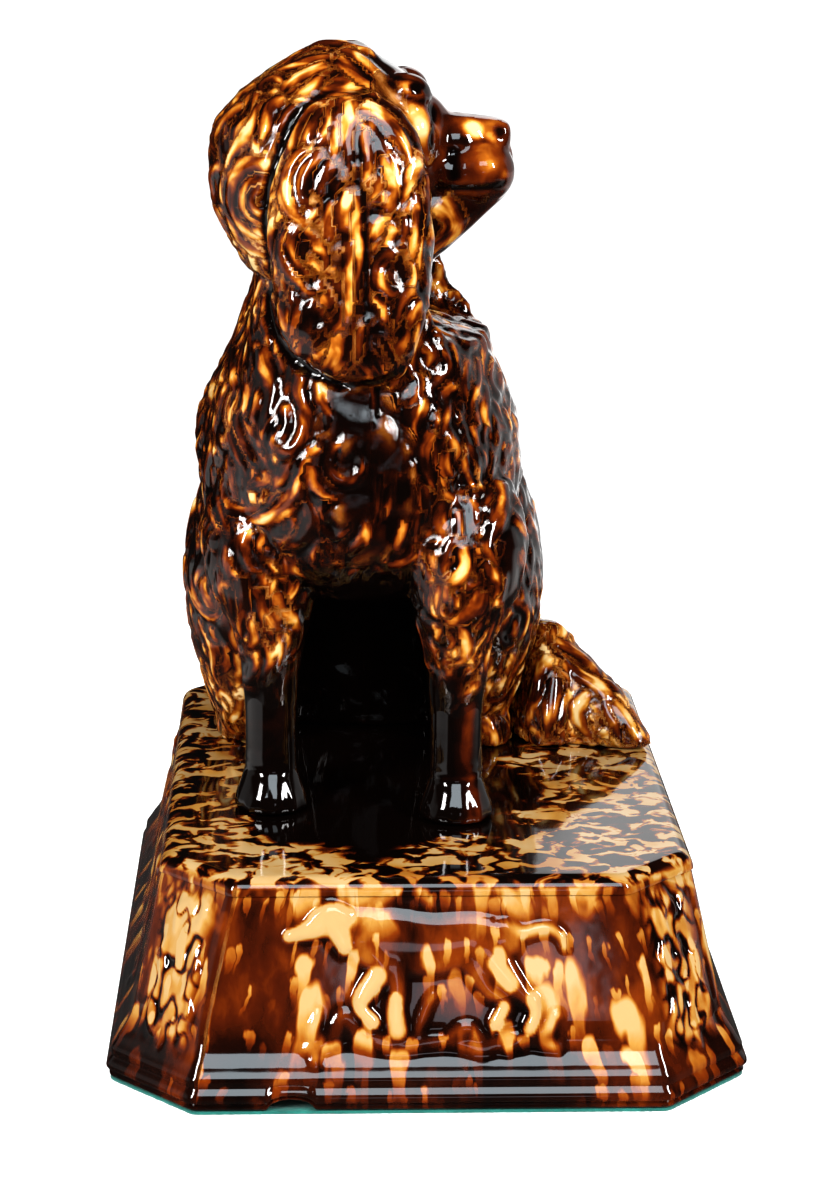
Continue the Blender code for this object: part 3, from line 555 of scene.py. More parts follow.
TAIL_LOCKS = (
    (((552, 640), (572, 650), (590, 664), (604, 684)), 2.8, 1.6),
    (((600, 680), (618, 690), (632, 706), (646, 730)), 2.6, 1.5),
    (((548, 652), (541, 672), (533, 700), (526, 732)), 3.2, 1.8),
    (((560, 658), (576, 674), (598, 686), (612, 702), (636, 726), (650, 746)), 2.8, 1.9),
    (((556, 674), (552, 700), (548, 726), (546, 742)), 3.0, 1.6),
    (((574, 690), (566, 708), (560, 730)), 2.6, 1.6),
    (((590, 690), (578, 706), (582, 726), (596, 742)), 3.0, 1.9),
    (((604, 698), (612, 718), (622, 744)), 2.4, 1.6),
    (((612, 700), (628, 722), (640, 746)), 2.4, 1.6),
)
# The ear's edge and the mould's seam down it, in the photograph's pixels
EAR_EDGE = (
    (345, 89), (318, 97), (300, 110), (286, 136), (274, 168), (267, 200), (266, 235), (271, 264), (274, 284),
    (269, 296), (272, 322), (286, 350), (312, 373), (345, 384), (375, 382), (402, 368), (420, 346),
    (430, 318), (433, 296), (430, 270), (432, 230), (434, 190), (428, 168), (414, 142), (396, 118),
    (374, 98), (345, 89),
)
SEAM_LINE = ((357, 108), (358, 150), (359, 182), (364, 202), (366, 250), (366, 300), (368, 334), (369, 374))
# Pits: pixel of the photograph, radius and depth in millimetres
PITS = (
    ((330, 196), 1.7, 1.5), ((316, 322), 1.5, 1.0), ((376, 214), 1.6, 1.6), ((402, 202), 1.5, 1.5),
    ((345, 236), 1.5, 1.2), ((395, 238), 1.6, 1.3), ((385, 266), 1.7, 1.3), ((347, 463), 2.2, 1.6),
    ((330, 526), 1.7, 1.3), ((461, 482), 2.4, 1.6), ((298, 290), 1.2, 0.8), ((268, 87), 1.2, 1.0),
    ((372, 310), 1.3, 1.0), ((378, 332), 1.5, 1.0),
)
# Places of the ear and of the face that lie smooth: pixel of the photograph, radius in millimetres
CLEARED = (((308, 340), 9.0), ((345, 350), 10.0), ((388, 346), 10.0), ((362, 366), 8.0), ((372, 320), 7.0))
FACE_CLEARED = (
    ((414, 112), 6.5), ((424, 128), 6.5), ((410, 92), 6.0), ((434, 145), 6.0), ((428, 105), 5.0),
    ((398, 84), 4.0),
)


def ease(low, high, value):
    """0 below low, 1 above high, and smooth between them."""
    t = min(max((value - low) / (high - low), 0.0), 1.0)
    return t * t * (3 - 2 * t)


def coat_flow(point):
    """Which way the hair lies: down the body, and on the head from the brow backwards and down."""
    x, y, h = point.x - SEAM_X, point.y, point.z - DECK
    down = Vector((0.0, 0.0, -1.0))
    on_head = ease(0.185, 0.212, h)
    back = Vector((-1.0, 0.0, -0.25))
    return (down * (1 - on_head) + back * on_head + Vector((0.0001, 0.0002, 0.0))).normalized()


# Front legs, in millimetres: each one's axis across from the seam and along the plinth, the radius that the
# sleeves are drawn in to, and the level below which they run down inside the legs
FRONT_LEGS = ((-27.8, -36.4), (24.8, -45.4))
COLUMN_RADIUS = 7.5
SLEEVE_LEVEL = 43.0
# The sleeves are reshaped below this level in millimetres and ahead of this place in metres
ARM_LEVEL = 64
ARM_PLACE = -0.006
# They have the radius above at this level, and widen by this much a millimetre from there upwards
FLARE_LEVEL = 28.6
ARM_FLARE = 0.08
# The wall under the belly leans back below this level in millimetres, by this much a millimetre
BELLY_LEVEL = 58
BELLY_LEAN = 0.24
# The solid muzzle is drawn back ahead of this place, between these levels and within this half width, all
# in millimetres, and this share of its length is left
MUZZLE_ROOT = 12
MUZZLE_LOW = 140
MUZZLE_HIGH = 201
MUZZLE_HALF = 24
MUZZLE_SHARE = 0.1


def leg_tone(x, y):
    """How pale the glaze of a front leg is: nearly black, with a red-brown stripe of painted light towards
    the right, on the side facing the light from the front right.
    """
    tone = -0.30
    for (axis_x, axis_y), lit_stripe in zip(FRONT_LEGS, (0.08, 0.50)):
        from_x, from_y = x / MM - axis_x, y / MM - axis_y
        if math.hypot(from_x, from_y) < 18:
            # The stripe is painted light: it lies at one heading on both legs and is strongest on the
            # right-hand leg
            tone += lit_stripe * math.exp(-((math.atan2(from_x, -from_y) - 0.45) / 0.40) ** 2)
    return tone


def coat_tone(x, y, z):
    """How much paler or darker the glaze lies than its mean: dark under the chest, where glaze pools and
    shade is painted in, and pale on hind feet.
    """
    x, h = x - SEAM_X, z - DECK
    # middle and front darken the wall under the chest and between the front legs: painted shade, over glaze
    # pooled there
    middle = ease(0.034, 0.022, abs(x)) * ease(0.078, 0.066, h) * ease(0.060, 0.045, y)
    inner = ease(0.020, 0.012, abs(x + 0.002))
    middle = max(middle * ease(-0.030, -0.022, y), middle * inner)
    arms = ease(0.075, 0.060, h) * ease(-0.005, -0.020, y) * (1 - middle)
    columns = ease(0.047, 0.040, h) * ease(-0.012, -0.020, y)
    flank = ease(0.034, 0.044, abs(x)) * ease(0.110, 0.085, h) * ease(0.030, 0.045, h)
    foot = ease(0.034, 0.020, h) * ease(0.030, 0.040, abs(x))
    ear = ease(0.148, 0.138, h) * ease(-0.042, -0.050, y) * ease(0.122, 0.130, h)
    head = ease(0.145, 0.160, h)
    front = ease(0.020, 0.010, abs(x + 0.002)) * ease(0.115, 0.100, h) * ease(-0.020, -0.030, y)
    glaze = 0.25 * foot - 0.75 * middle + 0.08 * arms - 0.04 * flank - 0.10 * front + 0.05 * ear + 0.17 * head
    return glaze * (1 - columns) + leg_tone(x, y) * columns


def coat_depth(point):
    """How deep the coat is carved at a point: none on muzzle, belly and lower legs."""
    x, y, h = point.x - SEAM_X, point.y, point.z - DECK
    face = ease(0.012, 0.022, x) * ease(0.142, 0.150, h) * ease(0.024, 0.018, abs(y - HEAD_Y))
    belly = ease(0.060, 0.052, h) * ease(0.030, 0.024, abs(x)) * ease(0.036, 0.024, y)
    leg = ease(0.056, 0.046, h) * ease(-0.010, -0.018, y) + 0.25 * ease(0.190, 0.205, h)
    eyes = ease(0.003, 0.008, x) * ease(0.023, 0.018, abs(y - HEAD_Y)) * ease(0.178, 0.184, h)
    eyes *= ease(0.214, 0.209, h)
    return max(0.0, 1 - face - belly - leg - eyes)


def coat_locks(relief, rng, count, flow, depth_at, spacing=COAT_SPACING, scale=1.0):
    """Wavy, hooked locks all over a skin, spaced evenly and laid from the lowest up."""
    total = len(relief.co)
    seeds = []
    taken = {}
    for index in rng.sample(range(total), min(total, count * 16)):
        place = relief.co[index]
        key = tuple(np.floor(place / spacing).astype(int))
        cells = [(key[0] + i, key[1] + j, key[2] + k) for i, j, k in itertools.product((-1, 0, 1), repeat=3)]
        others = [taken[cell] for cell in cells if cell in taken]
        if all(np.linalg.norm(relief.co[other] - place) >= spacing * 0.8 for other in others):
            taken[key] = index
            seeds.append(index)
        if len(seeds) >= count:
            break
    seeds.sort(key=lambda index: relief.co[index][2])
    for number, index in enumerate(seeds):
        place = Vector(relief.co[index])
        depth = depth_at(place)
        length = rng.uniform(*LOCK_LENGTH) * scale
        wave = rng.uniform(*LOCK_WAVE) * rng.choice(SIDES)
        phase = rng.uniform(*LOCK_PHASE)
        hook = rng.choice(LOCK_HOOKS) * rng.choice(SIDES)
        half = rng.uniform(*LOCK_HALF) * scale
        rise = rng.uniform(*LOCK_RISE) * scale
        strands = rng.choice(LOCK_STRANDS)
        if depth < LEAST_DEPTH:
            continue

        def turn(t, wave=wave, phase=phase, hook=hook):
            return wave * math.sin(2 * math.pi * (0.9 * t + phase)) + hook * max(0.0, t - 0.55) ** 2 / 0.2

        path = relief.trace(place, flow, length, turn)
        relief.press(path, half, rise * depth, number + 1.0, strands)


def drawn_locks(relief, locks, number, mirror=False):
    """Locks along routes of the photograph's pixels, numbered from a number on."""
    for i, (route, half, rise) in enumerate(locks):
        strands = 1.0 if half < 2.3 else 1.5 if half < 3.0 else 2.0
        path = relief.drawn(route, mirror)
        relief.press(path, half * MM, rise * MM, number + i, strands, fade=0.08, root=0.22)


def cut_flat(bm, place, normal):
    """Cuts a mesh by a plane, drops what lies on the normal's side and closes the cut."""
    geometry = bm.verts[:] + bm.edges[:] + bm.faces[:]
    cut = bmesh.ops.bisect_plane(bm, geom=geometry, dist=1e-7, plane_co=place, plane_no=normal,
                                 clear_outer=True)
    edges = [item for item in cut["geom_cut"] if isinstance(item, bmesh.types.BMEdge)]
    bmesh.ops.triangle_fill(bm, use_beauty=True, edges=edges, normal=normal)


def slim_arms(mesh):
    """Draws the ends of the sleeves in, so that they run down into the legs."""
    for vert in mesh.vertices:
        h = (vert.co.z - DECK) / MM
        if h > ARM_LEVEL or vert.co.y > ARM_PLACE:
            continue
        for axis_x, axis_y in FRONT_LEGS:
            x = (vert.co.x - SEAM_X) / MM - axis_x
            y = vert.co.y / MM - axis_y
            away = math.hypot(x, y)
            share = ease(23, 17, away) * ease(66, 43, h)
            lower = h - share * 1.2 * max(0.0, SLEEVE_LEVEL - h)
            wanted = min(away, COLUMN_RADIUS + ARM_FLARE * (lower - FLARE_LEVEL))
            scale = (away * (1 - share) + wanted * share) / max(away, 0.01)
            vert.co.x = SEAM_X + (axis_x + x * scale) * MM
            vert.co.y = (axis_y + y * scale) * MM
            if share > 0:
                vert.co.z = DECK + lower * MM
    mesh.update()


def tucked_belly(mesh):
    """Leans the wall under the belly back towards its foot, so that it mirrors the dark deck."""
    for vert in mesh.vertices:
        h = (vert.co.z - DECK) / MM
        aside = abs(vert.co.x - SEAM_X) / MM
        y = vert.co.y / MM
        share = ease(28, 19, aside) * ease(-10, 0, y) * ease(66, 50, y)
        vert.co.y += BELLY_LEAN * MM * max(0.0, BELLY_LEVEL - h) * share
    mesh.update()


def body_half(name, skin, side):
    """One pressed half of the body: cut at the deck and at the seam."""
    bm = bmesh.new()
    bm.from_mesh(skin)
    cut_flat(bm, (0.0, 0.0, DECK + 0.0001), (0.0, 0.0, -1.0))
    cut_flat(bm, (SEAM_X + side * SEAM_GAP / 2, 0.0, 0.0), (-side, 0.0, 0.0))
    bmesh.ops.recalc_face_normals(bm, faces=bm.faces)
    mesh = mesh_of(bm, name)
    made = new_object(name, mesh)
    mesh.shade_smooth()
    mesh.set_sharp_from_angle(angle=math.radians(70))
    return made


def seam_ridge(relief):
    """The line left by the mould's seam, raised a little and not quite even."""
    x, y, z = relief.co.T
    x = x - SEAM_X
    wander = 0.0002 * np.sin(z * 410) + 0.00015 * np.sin(y * 530 + 1.3)
    relief.height += 0.00022 * np.exp(-((x - wander) / 0.00055) ** 2)


# Face: forms about the head's middle plane, in millimetres: their middles, ahead of the seam, aside and above
# the deck, and their radii
FACE_FORMS = (
    ((12.0, 0.0, 186.0), (13.0, 17.0, 17.0)),
    ((12.6, 14.5, 190.0), (6.0, 6.4, 9.5)),
    ((10.0, 11.0, 202.0), (7.2, 8.5, 6.0)),
    ((24.0, 0.0, 188.0), (11.0, 11.8, 8.2)),
    ((31.6, 5.4, 180.4), (9.4, 10.2, 9.2)),
    ((24.5, 4.0, 180.0), (10.5, 11.0, 8.2)),
    ((36.8, 0.0, 182.5), (4.2, 5.6, 7.4)),
)
# Nose and jaw: distance ahead of the seam, half width, lower and upper level
NOSE = (
    (10, 11.5, 180.0, 199.0), (16, 10.5, 182.0, 197.6), (20, 9.6, 183.5, 196.4), (26, 8.6, 184.5, 195.8),
    (32, 8.0, 184.8, 195.2), (36.5, 7.6, 184.8, 194.6), (39.0, 6.6, 185.6, 193.8), (39.8, 4.6, 187.0, 192.4),
)
JAW = (
    (2, 17.5, 147.0, 180), (10, 15.5, 149.6, 180), (20, 12.6, 156.0, 180), (28, 10.4, 163.0, 178.5),
    (34, 8.6, 168.8, 177.0), (38.0, 6.5, 172.4, 176.6), (39.4, 3.5, 173.8, 175.6),
)
FORM_POINTS = 48


def on_head(ahead, aside, above):
    """A place from its millimetres ahead of the seam, aside of the head's middle plane and above the deck."""
    return SEAM_X + ahead * MM, HEAD_Y + aside * MM, DECK + above * MM


def lofted(name, stations, flatness_above, flatness_below):
    """A smooth closed form along the head: superelliptic sections, flatter above or below."""
    bm = bmesh.new()
    rings = []
    for ahead, half, low, high in smooth_path(stations, 6):
        middle, tall = (low + high) / 2, (high - low) / 2
        ring = []
        for j in range(FORM_POINTS):
            angle = 2 * math.pi * j / FORM_POINTS
            c, s = math.cos(angle), math.sin(angle)
            power = 2 / (flatness_above if s > 0 else flatness_below)
            y = half * math.copysign(abs(c) ** power, c)
            z = middle + tall * math.copysign(abs(s) ** power, s)
            ring.append(bm.verts.new(on_head(ahead, y, z)))
        rings.append(ring)
    for a, b in zip(rings, rings[1:]):
        for j in range(FORM_POINTS):
            bm.faces.new((a[j], a[(j + 1) % FORM_POINTS], b[(j + 1) % FORM_POINTS], b[j]))
    bm.faces.new(reversed(rings[0]))
    bm.faces.new(rings[-1])
    bmesh.ops.recalc_face_normals(bm, faces=bm.faces)
    return mesh_of(bm, name)


def face_forms():
    """The rounded forms of brow, cheeks, nose, lips and jaw."""
    made = [lofted("nose", NOSE, 3.4, 2.2), lofted("jaw", JAW, 2.0, 2.3)]
    for (ahead, aside, above), radii in FACE_FORMS:
        for side in {aside, -aside}:
            bm = bmesh.new()
            size = Matrix.Diagonal([radius * MM for radius in radii] + [1.0])
            place = Matrix.Translation(on_head(ahead, side, above)) @ size
            bmesh.ops.create_icosphere(bm, subdivisions=4, radius=1.0, matrix=place)
            made.append(mesh_of(bm, "face_form"))
    return made


def tucked_muzzle(mesh):
    """Draws the plain solid of the muzzle back, so that the rounded forms stand ahead of it."""
    for vert in mesh.vertices:
        x = (vert.co.x - SEAM_X) / MM
        h = (vert.co.z - DECK) / MM
        aside = abs(vert.co.y - HEAD_Y) / MM
        if x > MUZZLE_ROOT and MUZZLE_LOW < h < MUZZLE_HIGH and aside < MUZZLE_HALF:
            vert.co.x = SEAM_X + (MUZZLE_ROOT + (x - MUZZLE_ROOT) * MUZZLE_SHARE) * MM


# Paler and darker patches of the face: pixel of the photograph, radius in millimetres, tone
FACE_TONES = (
    ((473, 130), 3.1, 0.60), ((485, 121), 5.0, 0.10), ((491, 137), 1.7, 0.26), ((461, 121), 3.4, 0.16),
    # ((474, 175), 4.6, -0.14) darkens the underside of the lip's lobe: painted shade
    ((490, 153), 5.6, 0.34), ((474, 175), 4.6, -0.14), ((505, 176), 1.8, 0.24), ((416, 113), 3.6, 0.30),
    ((421, 133), 3.6, 0.34), ((437, 128), 2.6, 0.18), ((408, 90), 4.4, 0.26), ((416, 88), 1.7, -0.80),
    ((444, 162), 4.5, 0.06), ((497, 122), 3.4, 0.08), ((430, 110), 1.4, -0.24), ((462, 212), 8.0, -0.08),
)
# Places of the chest that lie smooth, given in the same way
CHEST_CLEARED = (
    ((352, 414), 7.0, -0.30), ((376, 462), 7.5, -0.10), ((372, 500), 7.5, -0.10), ((360, 535), 6.0, -0.10),
)
# Lines of the face on both sides: route in the photograph's pixels, half width and depth in millimetres
FACE_LINES = (
    (((434, 187), (450, 188), (476, 188), (500, 185), (508, 178)), 0.7, 1.1),
    (((433, 104), (433, 122), (431, 140), (434, 152)), 1.0, 1.0),
    (((455, 146), (453, 160), (455, 182)), 1.6, 0.9),
    (((447, 139), (470, 140), (494, 141)), 0.9, 0.4),
    (((388, 78), (398, 91), (410, 99), (426, 103)), 0.8, 0.9),
    (((392, 76), (404, 79), (418, 82), (428, 93)), 0.6, 0.6),
    (((404, 128), (412, 142), (424, 146), (430, 138)), 0.8, 0.7),
)
# Swellings and pits of the face: pixel, radius and rise in millimetres
FACE_MARKS = (((419, 124), 4.2, 1.5), ((416, 87), 1.3, -0.9), ((499, 131), 1.4, -1.3), ((472, 168), 5.0, 0.7),
              ((492, 166), 3.2, 0.6))
# The line under the nose: how far ahead of the seam it is looked for, and its levels, in millimetres
NOSE_LINE_AHEAD = 43
NOSE_LINE_LEVELS = range(190, 174, -2)


def face_marks(relief):
    """Eyes, nostrils, mouth and the hollows of the cheeks, on both sides of the head."""
    front = [relief.on_skin(on_head(NOSE_LINE_AHEAD, 0, level))[0] for level in NOSE_LINE_LEVELS]
    relief.score(relief.even(front), 0.6 * MM, 0.8 * MM)
    for mirror in (False, True):
        for pixel, radius, tone in FACE_TONES:
            relief.paint(pixel, radius, tone, mirror)
        for route, half, depth in FACE_LINES:
            relief.score(relief.drawn(route, mirror), half * MM, depth * MM)
        for pixel, radius, rise in FACE_MARKS:
            relief.mark(pixel, radius, rise, mirror)


def dog_body():
    """Both halves of the head and body, with the carved coat."""
    inner = ((SEAM_X - 0.036, 0.028, DECK + 0.0004), (SEAM_X + 0.036, 0.078, DECK + 0.008))
    shifts = {"body_right_half": (SEAM_REACH, 0, 0), "body_left_half": (-SEAM_REACH, 0, 0)}
    whole = joined_nodes("dog_skin", shifts, inner, tucked_muzzle, face_forms())
    fine_skin(whole, COAT_VOXEL, COAT_SMOOTHING)
    slim_arms(whole.data)
    tucked_belly(whole.data)
    relief = Relief(whole)
    relief.tone = np.array([coat_tone(*place) for place in relief.co])
    coat_locks(relief, random.Random(COAT_SEED), COAT_COUNT, coat_flow, coat_depth)
    drawn_locks(relief, HEAD_LOCKS, 3000.0, mirror=True)
    drawn_locks(relief, HEAD_LOCKS, 3100.0)
    for places, plain in ((CLEARED, False), (FACE_CLEARED, True)):
        for (pixel, radius), mirror in itertools.product(places, (False, True)):
            relief.clear(pixel, radius, mirror, plain)
    for pixel, radius, tone in CHEST_CLEARED:
        relief.clear(pixel, radius, plain=True)
        relief.paint(pixel, radius, tone)
    drawn_locks(relief, EAR_LOCKS, 3200.0, mirror=True)
    drawn_locks(relief, CHEST_LOCKS, 3300.0)
    drawn_locks(relief, EAR_LOCKS, 3400.0)
    for mirror in (True, False):
        relief.score(relief.drawn(EAR_EDGE, mirror), 1.1 * MM, 2.2 * MM)
    relief.score(relief.drawn(SEAM_LINE), 0.6 * MM, 0.9 * MM)
    for pixel, radius, depth in PITS:
        relief.mark(pixel, radius, -depth)
    face_marks(relief)
    seam_ridge(relief)
    relief.fillet()
    relief.finish()
    halves = []
    for name, side in (("body_right_half", -1), ("body_left_half", 1)):
        made = body_half("dog_" + name, whole.data, side)
        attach(made, "root")
        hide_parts(name)
        halves.append(made)
    bpy.data.objects.remove(whole)
    return halves


# Headings of the grooves between a front foot's toes, in radians
TOE_GROOVES = (-0.62, -0.08, 0.46)


def leg(node):
    """A front leg with its collar and toes."""
    made = joined_nodes("dog_" + node, {node: (0, 0, 0)})
    fine_skin(made, LEG_VOXEL, LEG_SMOOTHING)
    relief = Relief(made)
    low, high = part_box(node)
    middle = ((low[0] + high[0]) / 2, (low[1] + high[1]) / 2)
    x = (relief.co[:, 0] - middle[0]) / MM
    y = (relief.co[:, 1] - middle[1]) / MM
    h = (relief.co[:, 2] - DECK) / MM
    heading = np.arctan2(x, -y)
    for toe in TOE_GROOVES:
        groove = np.exp(-((heading - toe) / 0.10) ** 2) * np.exp(-((h - 4.0) / 3.4) ** 2)
        relief.height -= 0.45 * MM * groove
    relief.height += 0.45 * MM * np.exp(-((h - 12.6) / 0.9) ** 2)
    relief.height += 0.9 * MM * np.exp(-((h - 2.0) / 4.6) ** 2)
    relief.fillet(1.6)
    relief.tone = np.array([leg_tone(place[0] - SEAM_X, place[1]) for place in relief.co])
    relief.finish()
    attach(made, "root")
    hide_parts(node)
    made.data.shade_smooth()
    return made


def tail_flow(point):
    """Which way the tail's feathering lies: out and forwards, and down to the deck."""
    return Vector((0.45, -0.75, -0.5)).normalized()


def tail():
    """The feathered tail."""
    made = joined_nodes("dog_tail", {"tail": (0, 0, 0)})
    fine_skin(made, TAIL_VOXEL, TAIL_SMOOTHING)
    relief = Relief(made)
    rng = random.Random(TAIL_SEED)
    coat_locks(relief, rng, TAIL_COUNT, tail_flow, lambda place: 1.0, TAIL_SPACING, TAIL_SCALE)
    drawn_locks(relief, TAIL_LOCKS, 900.0)
    relief.tone += 0.22
    relief.fillet()
    relief.finish()
    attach(made, "root")
    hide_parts("tail")
    made.data.shade_smooth()
    return made


# Plinth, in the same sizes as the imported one
FOOT_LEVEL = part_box("plinth")[0][2]
FOOT_HALF_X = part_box("plinth")[1][0]
FOOT_HALF_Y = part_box("plinth")[1][1]
FOOT_CORNER = 0.0240
DECK_HALF_X = 0.0732
DECK_HALF_Y = 0.1005
DECK_CORNER = 0.0197
ROLL_RADIUS = 0.0045
ROLL_STAND_OUT = 0.0006
SHOULDER = DECK - ROLL_RADIUS
CORNER_ROUNDING = 0.0016
PLINTH_WALL = 0.006
DECK_THICKNESS = 0.007
VENT_RADIUS = 0.012
VENT_Y = 0.0515
NOTCH_X = -0.0375
NOTCH_HALF = 0.0062
NOTCH_RISE = 0.0030
NOTCH_REACH = 0.0085

# Base moulding: height above the plinth's lower edge, and how far it lies inside the foot's outline
MOULDING = (
    (0.0000, 0.0015), (0.0004, 0.0009), (0.0010, 0.0009), (0.0016, 0.0017), (0.0021, 0.0006),
    (0.0030, 0.0000), (0.0039, 0.0002), (0.0048, 0.0007), (0.0055, 0.0013), (0.0061, 0.0017),
    (0.0067, 0.0014), (0.0083, 0.0015), (0.0100, 0.0027), (0.0118, 0.0038), (0.0137, 0.0052),
    (0.0153, 0.0062), (0.0172, 0.0071), (0.0217, 0.0082),
)

# Points along each stretch of the plinth's outline, and rows up it
END_POINTS = 190
SIDE_POINTS = 130
CANT_POINTS = 56
CORNER_POINTS = 3
STRETCHES = (END_POINTS, CANT_POINTS, SIDE_POINTS, CANT_POINTS) * 2
PANEL_ROWS = 50
MOULDING_ROWS = 36
ROLL_ROWS = 9

# Limbs of the reliefs, in millimetres: across the panel, height above the ground, half width; then how far
# each rises, and for some how much paler the glaze lies on it
HOUND = (
    (((-38.0, 45.3, 1.6), (-34.0, 46.3, 2.3), (-29.0, 48.2, 3.6), (-25.0, 48.6, 4.2)), 1.7, 0.5),
    (((-31.0, 49.2, 2.2), (-27.0, 51.5, 2.4), (-22.5, 50.0, 2.4)), 1.7, 0.5),
    (((-27.5, 50.0, 1.6), (-25.0, 47.0, 3.4), (-23.0, 42.5, 2.2)), 2.1, 0.5),
    (((-25.0, 47.5, 4.2), (-18.0, 47.0, 5.0), (-11.0, 45.0, 6.6)), 1.1),
    (((-19.5, 44.0, 4.0), (-12.0, 43.5, 8.2), (0.0, 42.8, 7.6), (12.0, 44.0, 6.6), (20.0, 44.0, 4.6)), 1.5),
    (((-16.0, 41.0, 4.0), (-13.0, 37.0, 3.6), (-17.5, 31.0, 2.6), (-19.0, 27.5, 2.0), (-15.5, 23.5, 1.9)),
     1.7),
    (((-14.5, 35.0, 3.0), (-17.5, 31.0, 2.7), (-19.0, 27.5, 2.0), (-15.5, 23.5, 2.0)), 1.9, 0.5),
    (((-10.0, 38.0, 4.0), (-9.0, 32.0, 2.7), (-9.5, 26.0, 2.6), (-9.0, 21.5, 2.9)), 1.5),
    (((-9.4, 29.0, 2.2), (-9.5, 25.0, 2.7), (-9.0, 21.5, 2.9)), 1.7, 0.4),
    (((15.0, 42.0, 5.5), (19.0, 36.5, 4.2), (24.5, 30.5, 2.6), (28.0, 26.5, 1.7), (26.5, 21.5, 2.0)), 1.7),
    (((12.0, 38.0, 4.0), (15.5, 31.5, 2.4), (20.5, 28.0, 1.9), (17.5, 23.0, 1.9)), 1.3),
    (((17.5, 38.0, 2.4), (21.5, 33.0, 2.4)), 1.8, 0.42),
    (((27.6, 29.0, 1.7), (28.0, 25.5, 1.6), (26.5, 21.5, 2.0)), 1.9, 0.42),
    (((19.6, 27.0, 1.8), (17.5, 23.0, 2.0)), 1.5, 0.42),
    (((20.0, 46.8, 2.6), (25.0, 45.8, 1.7), (31.0, 47.0, 1.4), (35.0, 45.0, 1.3), (36.0, 42.0, 0.7)), 1.4),
    (((-33.0, 17.0, 1.5), (-27.0, 19.0, 2.4), (-23.0, 25.0, 2.2), (-18.0, 19.5, 2.6), (-8.0, 18.0, 2.8),
      (4.0, 18.5, 2.2), (14.0, 17.5, 2.8), (24.0, 18.8, 2.2), (34.0, 17.0, 1.4)), 0.9),
    (((-3.5, 21.0, 1.5), (-1.0, 27.5, 1.3), (1.5, 31.0, 0.5)), 0.8),
    (((5.5, 20.0, 1.6), (10.0, 21.5, 2.2), (13.5, 19.5, 1.4)), 1.1),
    (((20.0, 16.5, 1.3), (24.0, 18.5, 2.4), (29.5, 20.0, 2.0), (34.0, 25.0, 1.0)), 1.1),
    (((-31.0, 14.5, 1.5), (-31.5, 21.0, 2.0), (-30.5, 26.0, 0.8)), 1.0),
)
SPRAY = (
    (((-0.5, 14.0, 1.0), (0.8, 24.0, 1.3), (-0.5, 36.0, 1.1), (0.2, 45.0, 1.2)), 1.1),
    (((-0.2, 27.0, 0.7), (-4.0, 30.5, 1.9), (-6.6, 36.5, 2.0), (-5.5, 41.5, 0.6)), 1.3),
    (((0.3, 24.0, 0.7), (4.2, 28.0, 2.1), (6.3, 35.0, 2.1), (4.6, 40.5, 0.6)), 1.3),
    (((0.3, 17.5, 0.6), (4.0, 18.5, 1.6), (7.2, 23.5, 1.8), (6.6, 28.0, 0.5)), 1.2),
    (((-0.2, 16.5, 0.6), (-4.6, 17.5, 1.7), (-7.0, 22.5, 1.9), (-5.6, 27.5, 0.5)), 1.2),
    (((-3.4, 43.0, 1.2), (-3.6, 48.0, 1.9), (-0.4, 50.4, 1.9), (1.6, 47.6, 1.5), (-0.6, 46.2, 1.1)), 1.5),
    (((0.6, 44.0, 1.0), (4.4, 46.0, 1.6), (5.6, 50.5, 1.4)), 1.3),
)
# Where the long sides' sprays stand
SIDE_SPRAY_PLACES = (-0.056, 0.0, 0.056)
# Lobes of the canted corners: seed, rounds of softening, rise, and tone on them and in the grooves between
LOBE_SEED = 11
LOBE_ROUNDS = 13
LOBE_RISE = 0.0010
LOBE_TONE = 0.85
GROOVE_TONE = 0.42
# How many times the reliefs are softened, and how many more for the level that pooled glaze is measured from
RELIEF_ROUNDS = 2
POOL_ROUNDS = 14


def set_in(plan, inset):
    """Half width, half length and corner of an outline that lies inside another by an inset."""
    half_x, half_y, corner = plan
    return half_x - inset, half_y - inset, corner - inset * (2 - math.sqrt(2))


def panel_plan(height):
    """Half width, half length and corner of the plinth's plain panels at a height."""
    top, inset = MOULDING[-1]
    low = set_in((FOOT_HALF_X, FOOT_HALF_Y, FOOT_CORNER), inset)
    high = (DECK_HALF_X, DECK_HALF_Y, DECK_CORNER)
    up = (height - FOOT_LEVEL - top) / (SHOULDER - FOOT_LEVEL - top)
    return [a + (b - a) * up for a, b in zip(low, high)]


def outline(plan):
    """Points round a canted rectangle, the same number on each stretch, from the left end of the front."""
    half_x, half_y, corner = plan
    turns = [Vector(point) for point in (
        (-half_x + corner, -half_y), (half_x - corner, -half_y), (half_x, -half_y + corner),
        (half_x, half_y - corner), (half_x - corner, half_y), (-half_x + corner, half_y),
        (-half_x, half_y - corner), (-half_x, -half_y + corner))]
    made = []
    for i, count in enumerate(STRETCHES):
        start, end, after = turns[i], turns[(i + 1) % 8], turns[(i + 2) % 8]
        way = (end - start).normalized() * CORNER_ROUNDING
        onward = (after - end).normalized() * CORNER_ROUNDING
        first, last = start + way, end - way
        made += [first.lerp(last, j / count) for j in range(count)]
        for j in range(CORNER_POINTS):
            t = j / CORNER_POINTS
            made.append((end - way) * (1 - t) ** 2 + end * (2 * t * (1 - t)) + (end + onward) * t ** 2)
    return np.array(made)


def limb_heights(limbs, across, height):
    """How far a relief's limbs stand out at points of a panel, in millimetres, and how pale they are."""
    total = np.zeros_like(across)
    pale = np.zeros_like(across)
    for points, rise, *paler in limbs:
        best = np.full_like(across, 9.0)
        for x, y, half in smooth_path(points, 8):
            best = np.minimum(best, np.hypot(across - x, height - y) / half)
        total = np.maximum(total, rise * np.sqrt(np.clip(1 - best ** 2, 0, 1)))
        if paler:
            pale = np.maximum(pale, paler[0] * np.clip((1.05 - best) / 0.35, 0, 1))
    return total, pale


